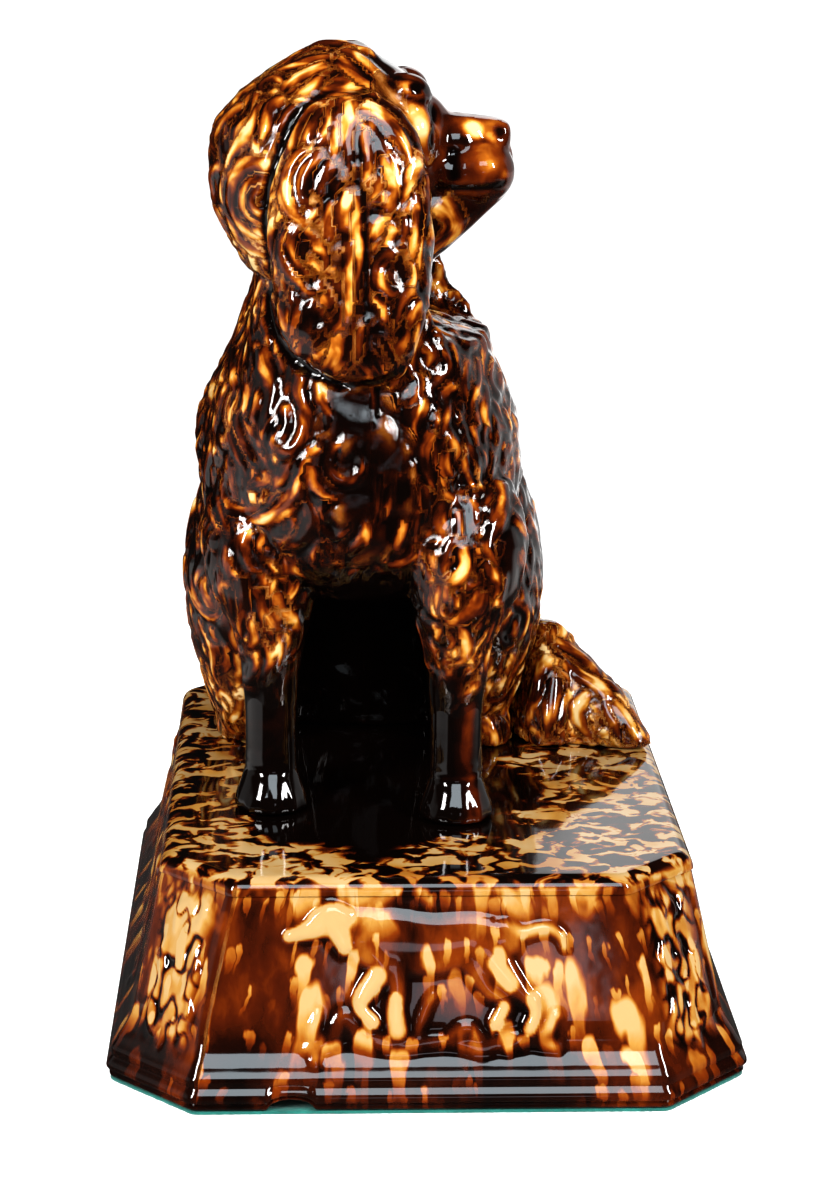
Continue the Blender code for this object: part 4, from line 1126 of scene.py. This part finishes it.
def smooth_path(points, steps):
    """A smooth curve through points of any size: Catmull-Rom, with steps points between each pair."""
    rows = [np.array(point, float) for point in points]
    rows = [2 * rows[0] - rows[1], *rows, 2 * rows[-1] - rows[-2]]
    made = []
    for a, b, c, d in zip(rows, rows[1:], rows[2:], rows[3:]):
        for j in range(steps):
            t = j / steps
            made.append(0.5 * (2 * b + (c - a) * t + (2 * a - 5 * b + 4 * c - d) * t ** 2
                               + (3 * b - 3 * c + d - a) * t ** 3))
    made.append(rows[-2])
    return made


def stretches():
    """The stretches of the plinth's outline: each one's number, its first point in a ring and its length."""
    start = 0
    for number, count in enumerate(STRETCHES):
        yield number, start, count
        start += count + CORNER_POINTS


def panel_reliefs(points, height):
    """How far the reliefs stand out round one ring of the plinth, in metres, and how pale they are."""
    x, y = points.T * 1000
    level = np.full(len(points), height * 1000)
    out, pale = np.zeros((2, len(points)))
    for turn, start, count in stretches():
        part = slice(start, start + count + CORNER_POINTS)
        px, py = x[part], y[part]
        if turn in (0, 4):
            side = 1 if turn == 0 else -1
            out[part], pale[part] = limb_heights(HOUND, side * px, level[part])
        elif turn % 2:
            middle = len(px) // 2
            along = np.hypot(px - px[middle], py - py[middle]) * np.sign(np.arange(len(px)) - middle)
            out[part], _ = limb_heights(SPRAY, along, level[part])
        else:
            side = 1 if turn == 2 else -1
            for number, place in enumerate(SIDE_SPRAY_PLACES):
                flip = side * (1 if number % 2 else -1)
                leaves, _ = limb_heights(SPRAY, flip * (py - place * 1000), level[part])
                out[part] = np.maximum(out[part], leaves)
    return out / 1000, pale


def softened(grid, times):
    """Values on rows of rings, each averaged with its neighbours some times over."""
    grid = grid.copy()
    for _ in range(times):
        grid[1:-1] = (grid[:-2] + 2 * grid[1:-1] + grid[2:]) / 4
        grid = (np.roll(grid, 1, axis=1) + 2 * grid + np.roll(grid, -1, axis=1)) / 4
    return grid


def canted_lobes(rows, count):
    """Where the canted corners are carved, and their leafy lobes: 1 on them, 0 in the grooves between."""
    field = softened(np.random.default_rng(LOBE_SEED).normal(size=(len(rows), count)), LOBE_ROUNDS)
    lobes = np.clip(np.abs(field) / (0.7 * field.std()), 0, 1) ** 0.7
    across = np.zeros(count)
    for turn, start, points in stretches():
        if turn % 2:
            across[start:start + points] = np.sin(np.pi * (np.arange(points) + 0.5) / points)
    carved = np.zeros((len(rows), count))
    for i, (_, height, relief, _) in enumerate(rows):
        if relief:
            up = ease(0.012, 0.020, height) * ease(DECK - 0.004, DECK - 0.010, height)
            carved[i] = up * np.clip(across * 1.8 - 0.35, 0, 1)
    return carved, carved * lobes


def plinth_piece():
    """The hollow plinth: rolled deck edge, panels with reliefs, moulded foot, notch and vent hole."""
    rows = []

    def add(plan, height, relief=0.0, deck=0.0):
        rows.append((outline(plan), height, relief, deck))

    shoulder = panel_plan(SHOULDER)
    add(set_in(shoulder, ROLL_RADIUS + 0.0012), DECK, deck=1.0)
    for i in range(ROLL_ROWS + 1):
        turn = math.pi / 2 * (1 - i / ROLL_ROWS)
        inset = ROLL_RADIUS * (1 - math.cos(turn)) - ROLL_STAND_OUT
        add(set_in(shoulder, inset), SHOULDER + ROLL_RADIUS * math.sin(turn), deck=math.sin(turn))
    top = FOOT_LEVEL + MOULDING[-1][0]
    for i in range(PANEL_ROWS):
        height = SHOULDER + (top - SHOULDER) * i / PANEL_ROWS
        add(panel_plan(height), height, relief=1.0)
    heights, insets = zip(*MOULDING)
    foot = (FOOT_HALF_X, FOOT_HALF_Y, FOOT_CORNER)
    for i in range(MOULDING_ROWS + 1):
        height = heights[-1] * (1 - i / MOULDING_ROWS) ** 1.25
        add(set_in(foot, float(np.interp(height, heights, insets))), FOOT_LEVEL + height, relief=1.0)
    for height in (FOOT_LEVEL, FOOT_LEVEL + 0.006, FOOT_LEVEL + 0.012, 0.034, DECK - DECK_THICKNESS):
        add(set_in(panel_plan(height), PLINTH_WALL), height)
    count = len(rows[0][0])
    turns = -math.pi + 2 * math.pi * (np.arange(count) + 0.5) / count
    start = math.atan2(rows[0][0][0][1], rows[0][0][0][0])
    ring = np.stack([SEAM_X + VENT_RADIUS * np.cos(turns + math.pi + start),
                     VENT_Y + VENT_RADIUS * np.sin(turns + math.pi + start)], axis=1)
    rows.append((ring, DECK - DECK_THICKNESS, 0.0, 0.0))
    rows.append((ring, DECK, 0.0, 1.0))

    grid = np.zeros((len(rows), count, 3))
    lift, deck, pale = np.zeros((3, len(rows), count))
    for i, (points, height, relief, on_deck) in enumerate(rows):
        grid[i, :, :2] = points
        grid[i, :, 2] = height
        deck[i] = on_deck
        if relief:
            lift[i], pale[i] = panel_reliefs(points, height)
    carved, lobes = canted_lobes(rows, count)
    lift = np.maximum(lift, LOBE_RISE * lobes)
    pale += LOBE_TONE * lobes - GROOVE_TONE * carved
    soft = softened(lift, RELIEF_ROUNDS)
    wide = softened(soft, POOL_ROUNDS)
    down = np.roll(grid, -1, axis=0) - np.roll(grid, 1, axis=0)
    across = np.roll(grid, -1, axis=1) - np.roll(grid, 1, axis=1)
    normal = np.cross(down, across)
    normal /= np.maximum(np.linalg.norm(normal, axis=2, keepdims=True), 1e-12)
    grid += normal * soft[:, :, None]

    notch = np.clip(1 - ((grid[:, :, 0] - NOTCH_X) / NOTCH_HALF) ** 2, 0, 1) ** 0.5 * (grid[:, :, 1] < -0.09)
    low = np.clip(1 - (grid[:, :, 2] - FOOT_LEVEL) / NOTCH_REACH, 0, 1)
    grid[:, :, 2] += NOTCH_RISE * notch * low

    total = len(rows)
    index = np.arange(total * count).reshape(total, count)
    after = np.roll(index, -1, axis=0)
    quads = np.stack([index, after, np.roll(after, -1, axis=1), np.roll(index, -1, axis=1)], axis=2)
    mesh = bpy.data.meshes.new("plinth_piece")
    mesh.from_pydata(grid.reshape(-1, 3), [], quads.reshape(-1, 4).tolist())
    front = outline((DECK_HALF_X, DECK_HALF_Y, DECK_CORNER))
    steps = np.linalg.norm(np.roll(front, -1, axis=0) - front, axis=1)
    along = np.tile(np.concatenate([[0], np.cumsum(steps)[:-1]]), (total, 1))
    keep(mesh, deck=deck, along=along, pool=(wide - soft) * 1000, relief=soft * 1000, pale=pale)
    mesh.shade_smooth()
    mesh.set_sharp_from_angle(angle=math.radians(50))
    made = new_object("plinth_piece", mesh)
    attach(made, "root")
    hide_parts("plinth")
    return made


# How far the felt lies inside the plinth's lower edge; seed and size of its edge's unevenness
FELT_MARGIN = 0.0012
FELT_SEED = 5
FELT_WANDER = 0.00006


def felt_piece():
    """The felt under the plinth: a thin sheet with a slightly soft edge."""
    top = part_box("felt_pad")[1][2]
    plan = set_in((FOOT_HALF_X, FOOT_HALF_Y, FOOT_CORNER), FELT_MARGIN)
    edge = outline(plan)
    wander = np.random.default_rng(FELT_SEED).normal(0, FELT_WANDER, len(edge))
    profile = ((0.004, 0.0), (0.0004, 0.0), (0.0, 0.0003), (0.0, 0.0007), (0.0003, top), (0.004, top))
    rings = []
    for inset, height in profile:
        ring = outline(set_in(plan, inset))
        ring *= 1 + wander[:, None] / np.linalg.norm(ring, axis=1)[:, None]
        rings.append(np.column_stack([ring, np.full(len(ring), height)]))
    count = len(edge)
    bm = bmesh.new()
    verts = [[bm.verts.new(point) for point in ring] for ring in rings]
    for low, high in zip(verts, verts[1:]):
        for j in range(count):
            bm.faces.new((low[j], low[(j + 1) % count], high[(j + 1) % count], high[j]))
    bm.faces.new(reversed(verts[0]))
    bm.faces.new(verts[-1])
    bmesh.ops.triangulate(bm, faces=[face for face in bm.faces if len(face.verts) > 4])
    mesh = mesh_of(bm, "felt_piece")
    mesh.shade_smooth()
    made = new_object("felt_piece", mesh)
    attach(made, "root")
    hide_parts("felt_pad")
    return made, plan


# Colours of the coat's glaze, from where it is pooled to where it is thin
GLAZE_STOPS = (
    (0.00, (0.0035, 0.0015, 0.0010)),
    (0.22, (0.0120, 0.0028, 0.0013)),
    (0.38, (0.0650, 0.0095, 0.0020)),
    (0.52, (0.1800, 0.0300, 0.0030)),
    (0.66, (0.4300, 0.1200, 0.0100)),
    (0.80, (0.7200, 0.3300, 0.0500)),
    (1.00, (0.9100, 0.6500, 0.3000)),
)
# The plinth's glaze is the same where it is thick, and less pale where it is thin
PANEL_STOPS = GLAZE_STOPS[:4] + (
    (0.66, (0.3400, 0.1100, 0.0120)),
    (0.80, (0.4600, 0.2350, 0.0500)),
    (1.00, (0.5200, 0.3500, 0.1600)),
)
# The dark pool on the deck under the dog, glaze pooled there with painted shade: its middle, across from the
# seam and along the plinth, and its half sizes
SHADED_POOL_X = 0.007
SHADED_POOL_Y = -0.008
SHADED_POOL_HALF_X = 0.041
SHADED_POOL_HALF_Y = 0.070
# Runs of glaze on the plinth, large to small: width, length and seed
RUNS = ((0.0110, 0.042, 3.7), (0.0080, 0.024, 7.1), (0.0042, 0.012, 11.3))
# How glossy the glaze and the felt are
GLAZE_ROUGHNESS = 0.06
GLAZE_IOR = 1.55
FELT_ROUGHNESS = 0.95
FELT_IOR = 1.45
FELT_SHEEN = 0.4
# The floor's radius, how far its middle lies behind the plinth's, and where its fading starts and ends
FLOOR_RADIUS = 0.48
FLOOR_Y = 0.10
FLOOR_FADE = (0.30, 0.47)
# Colours of the floor and of the light
WHITE = (1.0, 1.0, 1.0, 1.0)
FLOOR_GREY = (0.92, 0.92, 0.92, 1.0)
WARM_WHITE = (1.0, 0.97, 0.94, 1.0)


class Value:
    """A number that a node gives, which can be reckoned with like any other."""

    def __init__(self, nodes, socket):
        self.nodes = nodes
        self.socket = socket

    def __add__(self, other):
        return self.nodes.math("ADD", self, other)

    def __sub__(self, other):
        return self.nodes.math("SUBTRACT", self, other)

    def __mul__(self, other):
        return self.nodes.math("MULTIPLY", self, other)

    def __truediv__(self, other):
        return self.nodes.math("DIVIDE", self, other)

    def __pow__(self, other):
        return self.nodes.math("POWER", self, other)

    def __abs__(self):
        return self.nodes.math("ABSOLUTE", self)

    def clamped(self):
        """The same number, held between 0 and 1."""
        self.socket.node.use_clamp = True
        return self

    def remap(self, low, high, to_low=0.0, to_high=1.0):
        """The number with one range laid on another, and held at its ends."""
        sockets = {"Value": self, "From Min": low, "From Max": high, "To Min": to_low, "To Max": to_high}
        return Value(self.nodes, self.nodes.add("ShaderNodeMapRange", sockets).outputs["Result"])


class Nodes:
    """Short calls for building a material's nodes."""

    def __init__(self, owner):
        self.tree = owner.node_tree

    def add(self, kind, sockets=None, **values):
        """A node with its settings, and with what its inputs hold or are linked to."""
        node = self.tree.nodes.new(kind)
        for key, value in values.items():
            setattr(node, key, value)
        for key, value in (sockets or {}).items():
            self.give(node.inputs[key], value)
        return node

    def give(self, target, value):
        """Links an input to another node, or sets it to a number or colour."""
        source = getattr(value, "socket", value)
        if isinstance(source, bpy.types.NodeSocket):
            self.tree.links.new(source, target)
        else:
            target.default_value = source

    def math(self, operation, a, b=0.0):
        """What one math node makes of two numbers."""
        return Value(self, self.add("ShaderNodeMath", {0: a, 1: b}, operation=operation).outputs[0])

    def largest(self, first, *others):
        """The largest of some numbers."""
        for other in others:
            first = self.math("MAXIMUM", first, other)
        return first

    def attribute(self, name):
        """A value kept at the mesh's vertices."""
        return Value(self, self.add("ShaderNodeAttribute", attribute_name=name).outputs["Fac"])

    def place(self, scale=(1.0, 1.0, 1.0)):
        """Places on the object, stretched."""
        spots = self.add("ShaderNodeTexCoord").outputs["Object"]
        return self.add("ShaderNodeMapping", {"Vector": spots, "Scale": scale}).outputs["Vector"]

    def noise(self, vector, scale, detail=3.0, roughness=0.5, distortion=0.0):
        """Soft noise."""
        sockets = {"Vector": vector, "Scale": scale, "Detail": detail, "Roughness": roughness,
                   "Distortion": distortion}
        return Value(self, self.add("ShaderNodeTexNoise", sockets).outputs["Fac"])

    def ramp(self, value, stops):
        """A colour between some stops."""
        node = self.add("ShaderNodeValToRGB", {"Fac": value})
        elements = node.color_ramp.elements
        while len(elements) < len(stops):
            elements.new(0.5)
        for element, (place, colour) in zip(elements, stops):
            element.position = place
            element.color = (*colour, 1.0)
        return node.outputs["Color"]

    def vector(self, x, y, z):
        """A vector of three numbers."""
        return self.add("ShaderNodeCombineXYZ", {0: x, 1: y, 2: z}).outputs[0]

    def parts(self, vector):
        """The three numbers of a vector."""
        return [Value(self, part) for part in self.add("ShaderNodeSeparateXYZ", {0: vector}).outputs]


def material(name, roughness=GLAZE_ROUGHNESS, ior=GLAZE_IOR):
    """A new material, its nodes and its shader, as glossy as glaze if nothing else is said."""
    made = bpy.data.materials.new(name)
    made.use_nodes = True
    shader = made.node_tree.nodes["Principled BSDF"]
    shader.inputs["Roughness"].default_value = roughness
    shader.inputs["IOR"].default_value = ior
    return made, Nodes(made), shader


def finished(nodes, shader, level, stops, height, strength, distance):
    """Colours a shader by a level between stops, and bumps it by a height."""
    nodes.give(shader.inputs["Base Color"], nodes.ramp(level, stops))
    bump = nodes.add("ShaderNodeBump", {"Strength": strength, "Distance": distance, "Height": height})
    nodes.give(shader.inputs["Normal"], bump.outputs["Normal"])


def coat_glaze():
    """Glaze on the carved coat: thin and pale on the ridges, pooled and dark in the grooves."""
    made, nodes, shader = material("coat_glaze")
    lock = nodes.attribute("lock") * 7.31
    side = nodes.attribute("side") * 420.0
    along = nodes.attribute("along") * 80.0
    strand = nodes.noise(nodes.vector(side, along, lock), 1.0, 1.5)
    flame = nodes.noise(nodes.vector(side * 0.60, along * 1.30, lock), 1.0, 1.5, distortion=0.4)
    blotch = nodes.noise(nodes.place(), 62.0, 2.0, distortion=0.6)
    mottle = nodes.noise(nodes.place(), 230.0, 2.0, distortion=0.4)
    level = nodes.attribute("ridge").remap(-0.62, 0.80, -0.06, 0.70)
    level += strand.remap(0.3, 0.7, -0.07, 0.07)
    level += flame.remap(0.44, 0.66, -0.12, 0.36)
    level += blotch.remap(0.3, 0.7, -0.20, 0.14)
    level += nodes.attribute("tone")
    level += mottle.remap(0.3, 0.7, -0.06, 0.06)
    finished(nodes, shader, level.clamped(), GLAZE_STOPS, strand * 0.7 + mottle * 0.3, 0.07, 0.0006)
    return made


def drips(nodes, along, height, width, length, seed):
    """Runs of glaze: a pale drop of this width with a tail of about this length below it."""
    vector = nodes.vector(along / width + seed, height / length, seed)
    bend = nodes.noise(vector, 1.7, 2.0).remap(0.3, 0.7, -0.22, 0.22)
    moved = {0: vector, 1: nodes.vector(bend, 0.0, 0.0)}
    bent = nodes.add("ShaderNodeVectorMath", moved, operation="ADD").outputs[0]
    sockets = {"Scale": 1.0, "Randomness": 0.85, "Vector": bent}
    cells = nodes.add("ShaderNodeTexVoronoi", sockets, voronoi_dimensions="2D").outputs
    apart = nodes.add("ShaderNodeVectorMath", {0: bent, 1: cells["Position"]}, operation="SUBTRACT")
    side, up, _ = nodes.parts(apart.outputs[0])
    size, chance, _ = nodes.parts(cells["Color"])
    narrow = size.remap(0.0, 1.0, 0.16, 0.34) * up.remap(-0.5, 0.0, 0.45, 1.0)
    across = abs(side / narrow) ** 2.0
    over = (nodes.largest(up, 0.0) / 0.16) ** 2.0
    within = nodes.math("SQRT", across + over).remap(1.10, 0.70)
    return within * up.remap(-0.52, 0.02) * chance.remap(0.30, 0.60)


def panel_glaze():
    """Glaze on the plinth: drops and runs down the sides, and a fine mottle on the deck, darkened under the
    dog by pooled glaze and painted shade.
    """
    made, nodes, shader = material("panel_glaze")
    x, y, height = nodes.parts(nodes.add("ShaderNodeTexCoord").outputs["Object"])
    along = nodes.attribute("along")
    cloud = nodes.noise(nodes.place((1.0, 1.0, 0.3)), 55.0, 2.0, 0.5, 0.4)
    grain = nodes.noise(nodes.place((1.0, 1.0, 0.35)), 300.0, 3.0, 0.55, 0.3)
    large, middling, small = [drips(nodes, along, height, *run) for run in RUNS]
    level = cloud.remap(0.32, 0.68, 0.17, 0.50) + grain.remap(0.3, 0.7, -0.05, 0.05)
    level += nodes.largest(large, middling, small * 0.60) * 0.60
    level += nodes.attribute("pale")
    rim = nodes.noise(nodes.place((1.0, 1.0, 0.6)), 80.0, 2.0, 0.5, 0.8)
    level += rim.remap(0.48, 0.60) * height.remap(DECK - 0.016, DECK - 0.006) * 0.5
    level += height.remap(0.016, 0.026, -0.16, 0.0)
    level += nodes.attribute("relief") * 0.06
    level -= nodes.attribute("pool") * 0.5
    level = nodes.math("MINIMUM", level.clamped(), 0.96)
    mottle = nodes.noise(nodes.place((0.8, 1.0, 1.0)), 165.0, 2.5, 0.5, 0.9)
    patch = nodes.noise(nodes.place(), 45.0, 2.0, 0.5, 0.3)
    deck = mottle.remap(0.44, 0.56, 0.04, 0.96) + patch.remap(0.3, 0.7, -0.26, 0.14)
    # An oval under the dog is darkened: pooled glaze, with painted shade
    apart = abs((x - (SEAM_X + SHADED_POOL_X)) / SHADED_POOL_HALF_X) ** 2.6 + abs((y - SHADED_POOL_Y) / SHADED_POOL_HALF_Y) ** 2.6
    apart += patch.remap(0.3, 0.7, -0.45, 0.45)
    deck = (deck - apart.remap(1.15, 0.85)).clamped()
    sockets = {"Factor": nodes.attribute("deck").remap(0.35, 0.75), "A": level, "B": deck}
    mixed = nodes.add("ShaderNodeMix", sockets, data_type="FLOAT").outputs["Result"]
    finished(nodes, shader, mixed, PANEL_STOPS, nodes.noise(nodes.place(), 90.0, 2.0), 0.10, 0.0006)
    return made


def felt_cloth():
    """Dyed wool felt: matt, with fibres and slight clouds of colour."""
    made, nodes, shader = material("felt_cloth", FELT_ROUGHNESS, FELT_IOR)
    shader.inputs["Sheen Weight"].default_value = FELT_SHEEN
    fibre = nodes.noise(nodes.place(), 2600.0, 4.0, 0.7, 1.5)
    level = fibre * 0.6 + nodes.noise(nodes.place(), 160.0) * 0.4
    stops = ((0.30, (0.002, 0.055, 0.045)), (0.50, (0.004, 0.145, 0.115)), (0.70, (0.020, 0.260, 0.205)))
    finished(nodes, shader, level, stops, fibre, 0.6, 0.0004)
    return made


def wear(obj, made):
    """Gives an object one material."""
    obj.data.materials.clear()
    obj.data.materials.append(made)


def bare_nodes(owner):
    """The node tree of a material or world, emptied."""
    owner.use_nodes = True
    owner.node_tree.nodes.clear()
    return Nodes(owner)


def lay_floor():
    """Pale floor that fades out at its edge, and that the glaze mirrors as dark with two white sides."""
    bm = bmesh.new()
    bmesh.ops.create_circle(bm, cap_ends=True, segments=96, radius=FLOOR_RADIUS)
    floor = new_object("floor", mesh_of(bm, "floor"))
    floor.location = (0.0, FLOOR_Y, 0.0)
    ground = bpy.data.materials.new("floor")
    nodes = bare_nodes(ground)
    spots = nodes.add("ShaderNodeTexCoord").outputs["Object"]
    away = nodes.add("ShaderNodeVectorMath", {0: spots}, operation="LENGTH").outputs["Value"]
    edge = Value(nodes, away).remap(*FLOOR_FADE)
    x = nodes.parts(nodes.add("ShaderNodeNewGeometry").outputs["Position"])[0]
    lit = x.remap(-0.22, -0.34, 0.06, 0.75) + x.remap(0.26, 0.38, 0.0, 0.95)
    pale = nodes.add("ShaderNodeBsdfDiffuse", {"Color": FLOOR_GREY}).outputs[0]
    glow = nodes.add("ShaderNodeEmission", {"Color": WHITE, "Strength": 0.55}).outputs[0]
    both = nodes.add("ShaderNodeAddShader", {0: pale, 1: glow}).outputs[0]
    shine = nodes.add("ShaderNodeEmission", {"Color": WARM_WHITE, "Strength": lit}).outputs[0]
    glossy = nodes.add("ShaderNodeLightPath").outputs["Is Glossy Ray"]
    seen = nodes.add("ShaderNodeMixShader", {0: glossy, 1: both, 2: shine}).outputs[0]
    clear = nodes.add("ShaderNodeBsdfTransparent").outputs[0]
    surface = nodes.add("ShaderNodeMixShader", {0: edge, 1: seen, 2: clear}).outputs[0]
    nodes.add("ShaderNodeOutputMaterial", {"Surface": surface})
    wear(floor, ground)


def surroundings():
    """White surroundings to the sides and behind, and a dark room in front, by heading in degrees."""
    world = bpy.data.worlds.new("studio")
    bpy.context.scene.world = world
    nodes = bare_nodes(world)
    x, y, z = nodes.parts(nodes.add("ShaderNodeTexCoord").outputs["Generated"])
    heading = nodes.math("ARCTAN2", x, y * -1.0)

    def edge(start, end, *levels):
        return heading.remap(math.radians(start), math.radians(end), *levels)

    right = edge(98, 106)
    beside = (edge(-30, -36) * edge(-124, -116) + right * edge(168, 160)).clamped()
    low = beside * z.remap(-0.02, -0.10) * 0.7
    high = beside * (right + edge(-66, -80, 0.0, 0.6)).clamped() * z.remap(0.50, 0.36) * 0.42
    behind = edge(158, 164) * edge(177.5, 174.5) * (z.remap(0.46, 0.40) * 1.3)
    rays = nodes.add("ShaderNodeLightPath").outputs
    fill = Value(nodes, rays["Is Diffuse Ray"]) * 0.26
    shown = nodes.largest(nodes.largest(low, high, behind) + 0.012, fill, rays["Is Camera Ray"])
    background = nodes.add("ShaderNodeBackground", {"Color": WHITE, "Strength": shown})
    nodes.add("ShaderNodeOutputWorld", {"Surface": background.outputs[0]})


def lamp(name, place, target, width, height, power, colour=(1.0, 1.0, 1.0)):
    """A soft box that points at a target and isn't seen by the camera."""
    light = bpy.data.lights.new(name, "AREA")
    light.shape = "RECTANGLE"
    light.size = width
    light.size_y = height
    light.energy = power
    light.color = colour
    holder = bpy.data.objects.new(name, light)
    holder.location = place
    holder.rotation_euler = (Vector(target) - Vector(place)).to_track_quat("-Z", "Y").to_euler()
    holder.visible_camera = False
    bpy.context.scene.collection.objects.link(holder)


def camera():
    """The photograph's camera."""
    data = bpy.data.cameras.new("camera")
    data.sensor_width = SENSOR
    data.lens = SENSOR * CAMERA_FOCUS / PHOTO_HEIGHT
    data.clip_start = 0.01
    holder = bpy.data.objects.new("camera", data)
    bpy.context.scene.collection.objects.link(holder)
    across, above, ahead = camera_axes()
    placed = Matrix((across, above, -ahead)).transposed().to_4x4()
    placed.translation = CAMERA_PLACE
    holder.matrix_world = placed
    bpy.context.scene.camera = holder
    bpy.context.scene.view_settings.view_transform = "Standard"
    bpy.context.scene.view_settings.look = "Medium High Contrast"


camera()
lay_floor()
surroundings()
lamp("key_left", (-0.75, -0.85, 0.80), (0.0, 0.0, 0.16), 0.20, 0.55, 14.0)
lamp("key_right", (0.85, -0.75, 0.80), (0.0, 0.0, 0.16), 0.18, 0.50, 12.0)
lamp("over_front", (0.03, -0.78, 0.86), (0.0, -0.11, 0.02), 0.45, 0.44, 3.7, (0.82, 0.93, 1.0))
lamp("card_front", (0.05, -0.86, 0.245), (0.01, -0.11, 0.035), 0.14, 0.07, 0.05, (0.92, 0.90, 1.0))
coat = coat_glaze()
for half in dog_body():
    wear(half, coat)
wear(tail(), coat)
for node in ("front_right_leg", "front_left_leg"):
    wear(leg(node), coat)
wear(plinth_piece(), panel_glaze())
felt, felt_plan = felt_piece()
wear(felt, felt_cloth())
felt_size = (2 * felt_plan[0], 2 * felt_plan[1])
felt_size[0] * felt_size[1] - 2 * felt_plan[2] ** 2
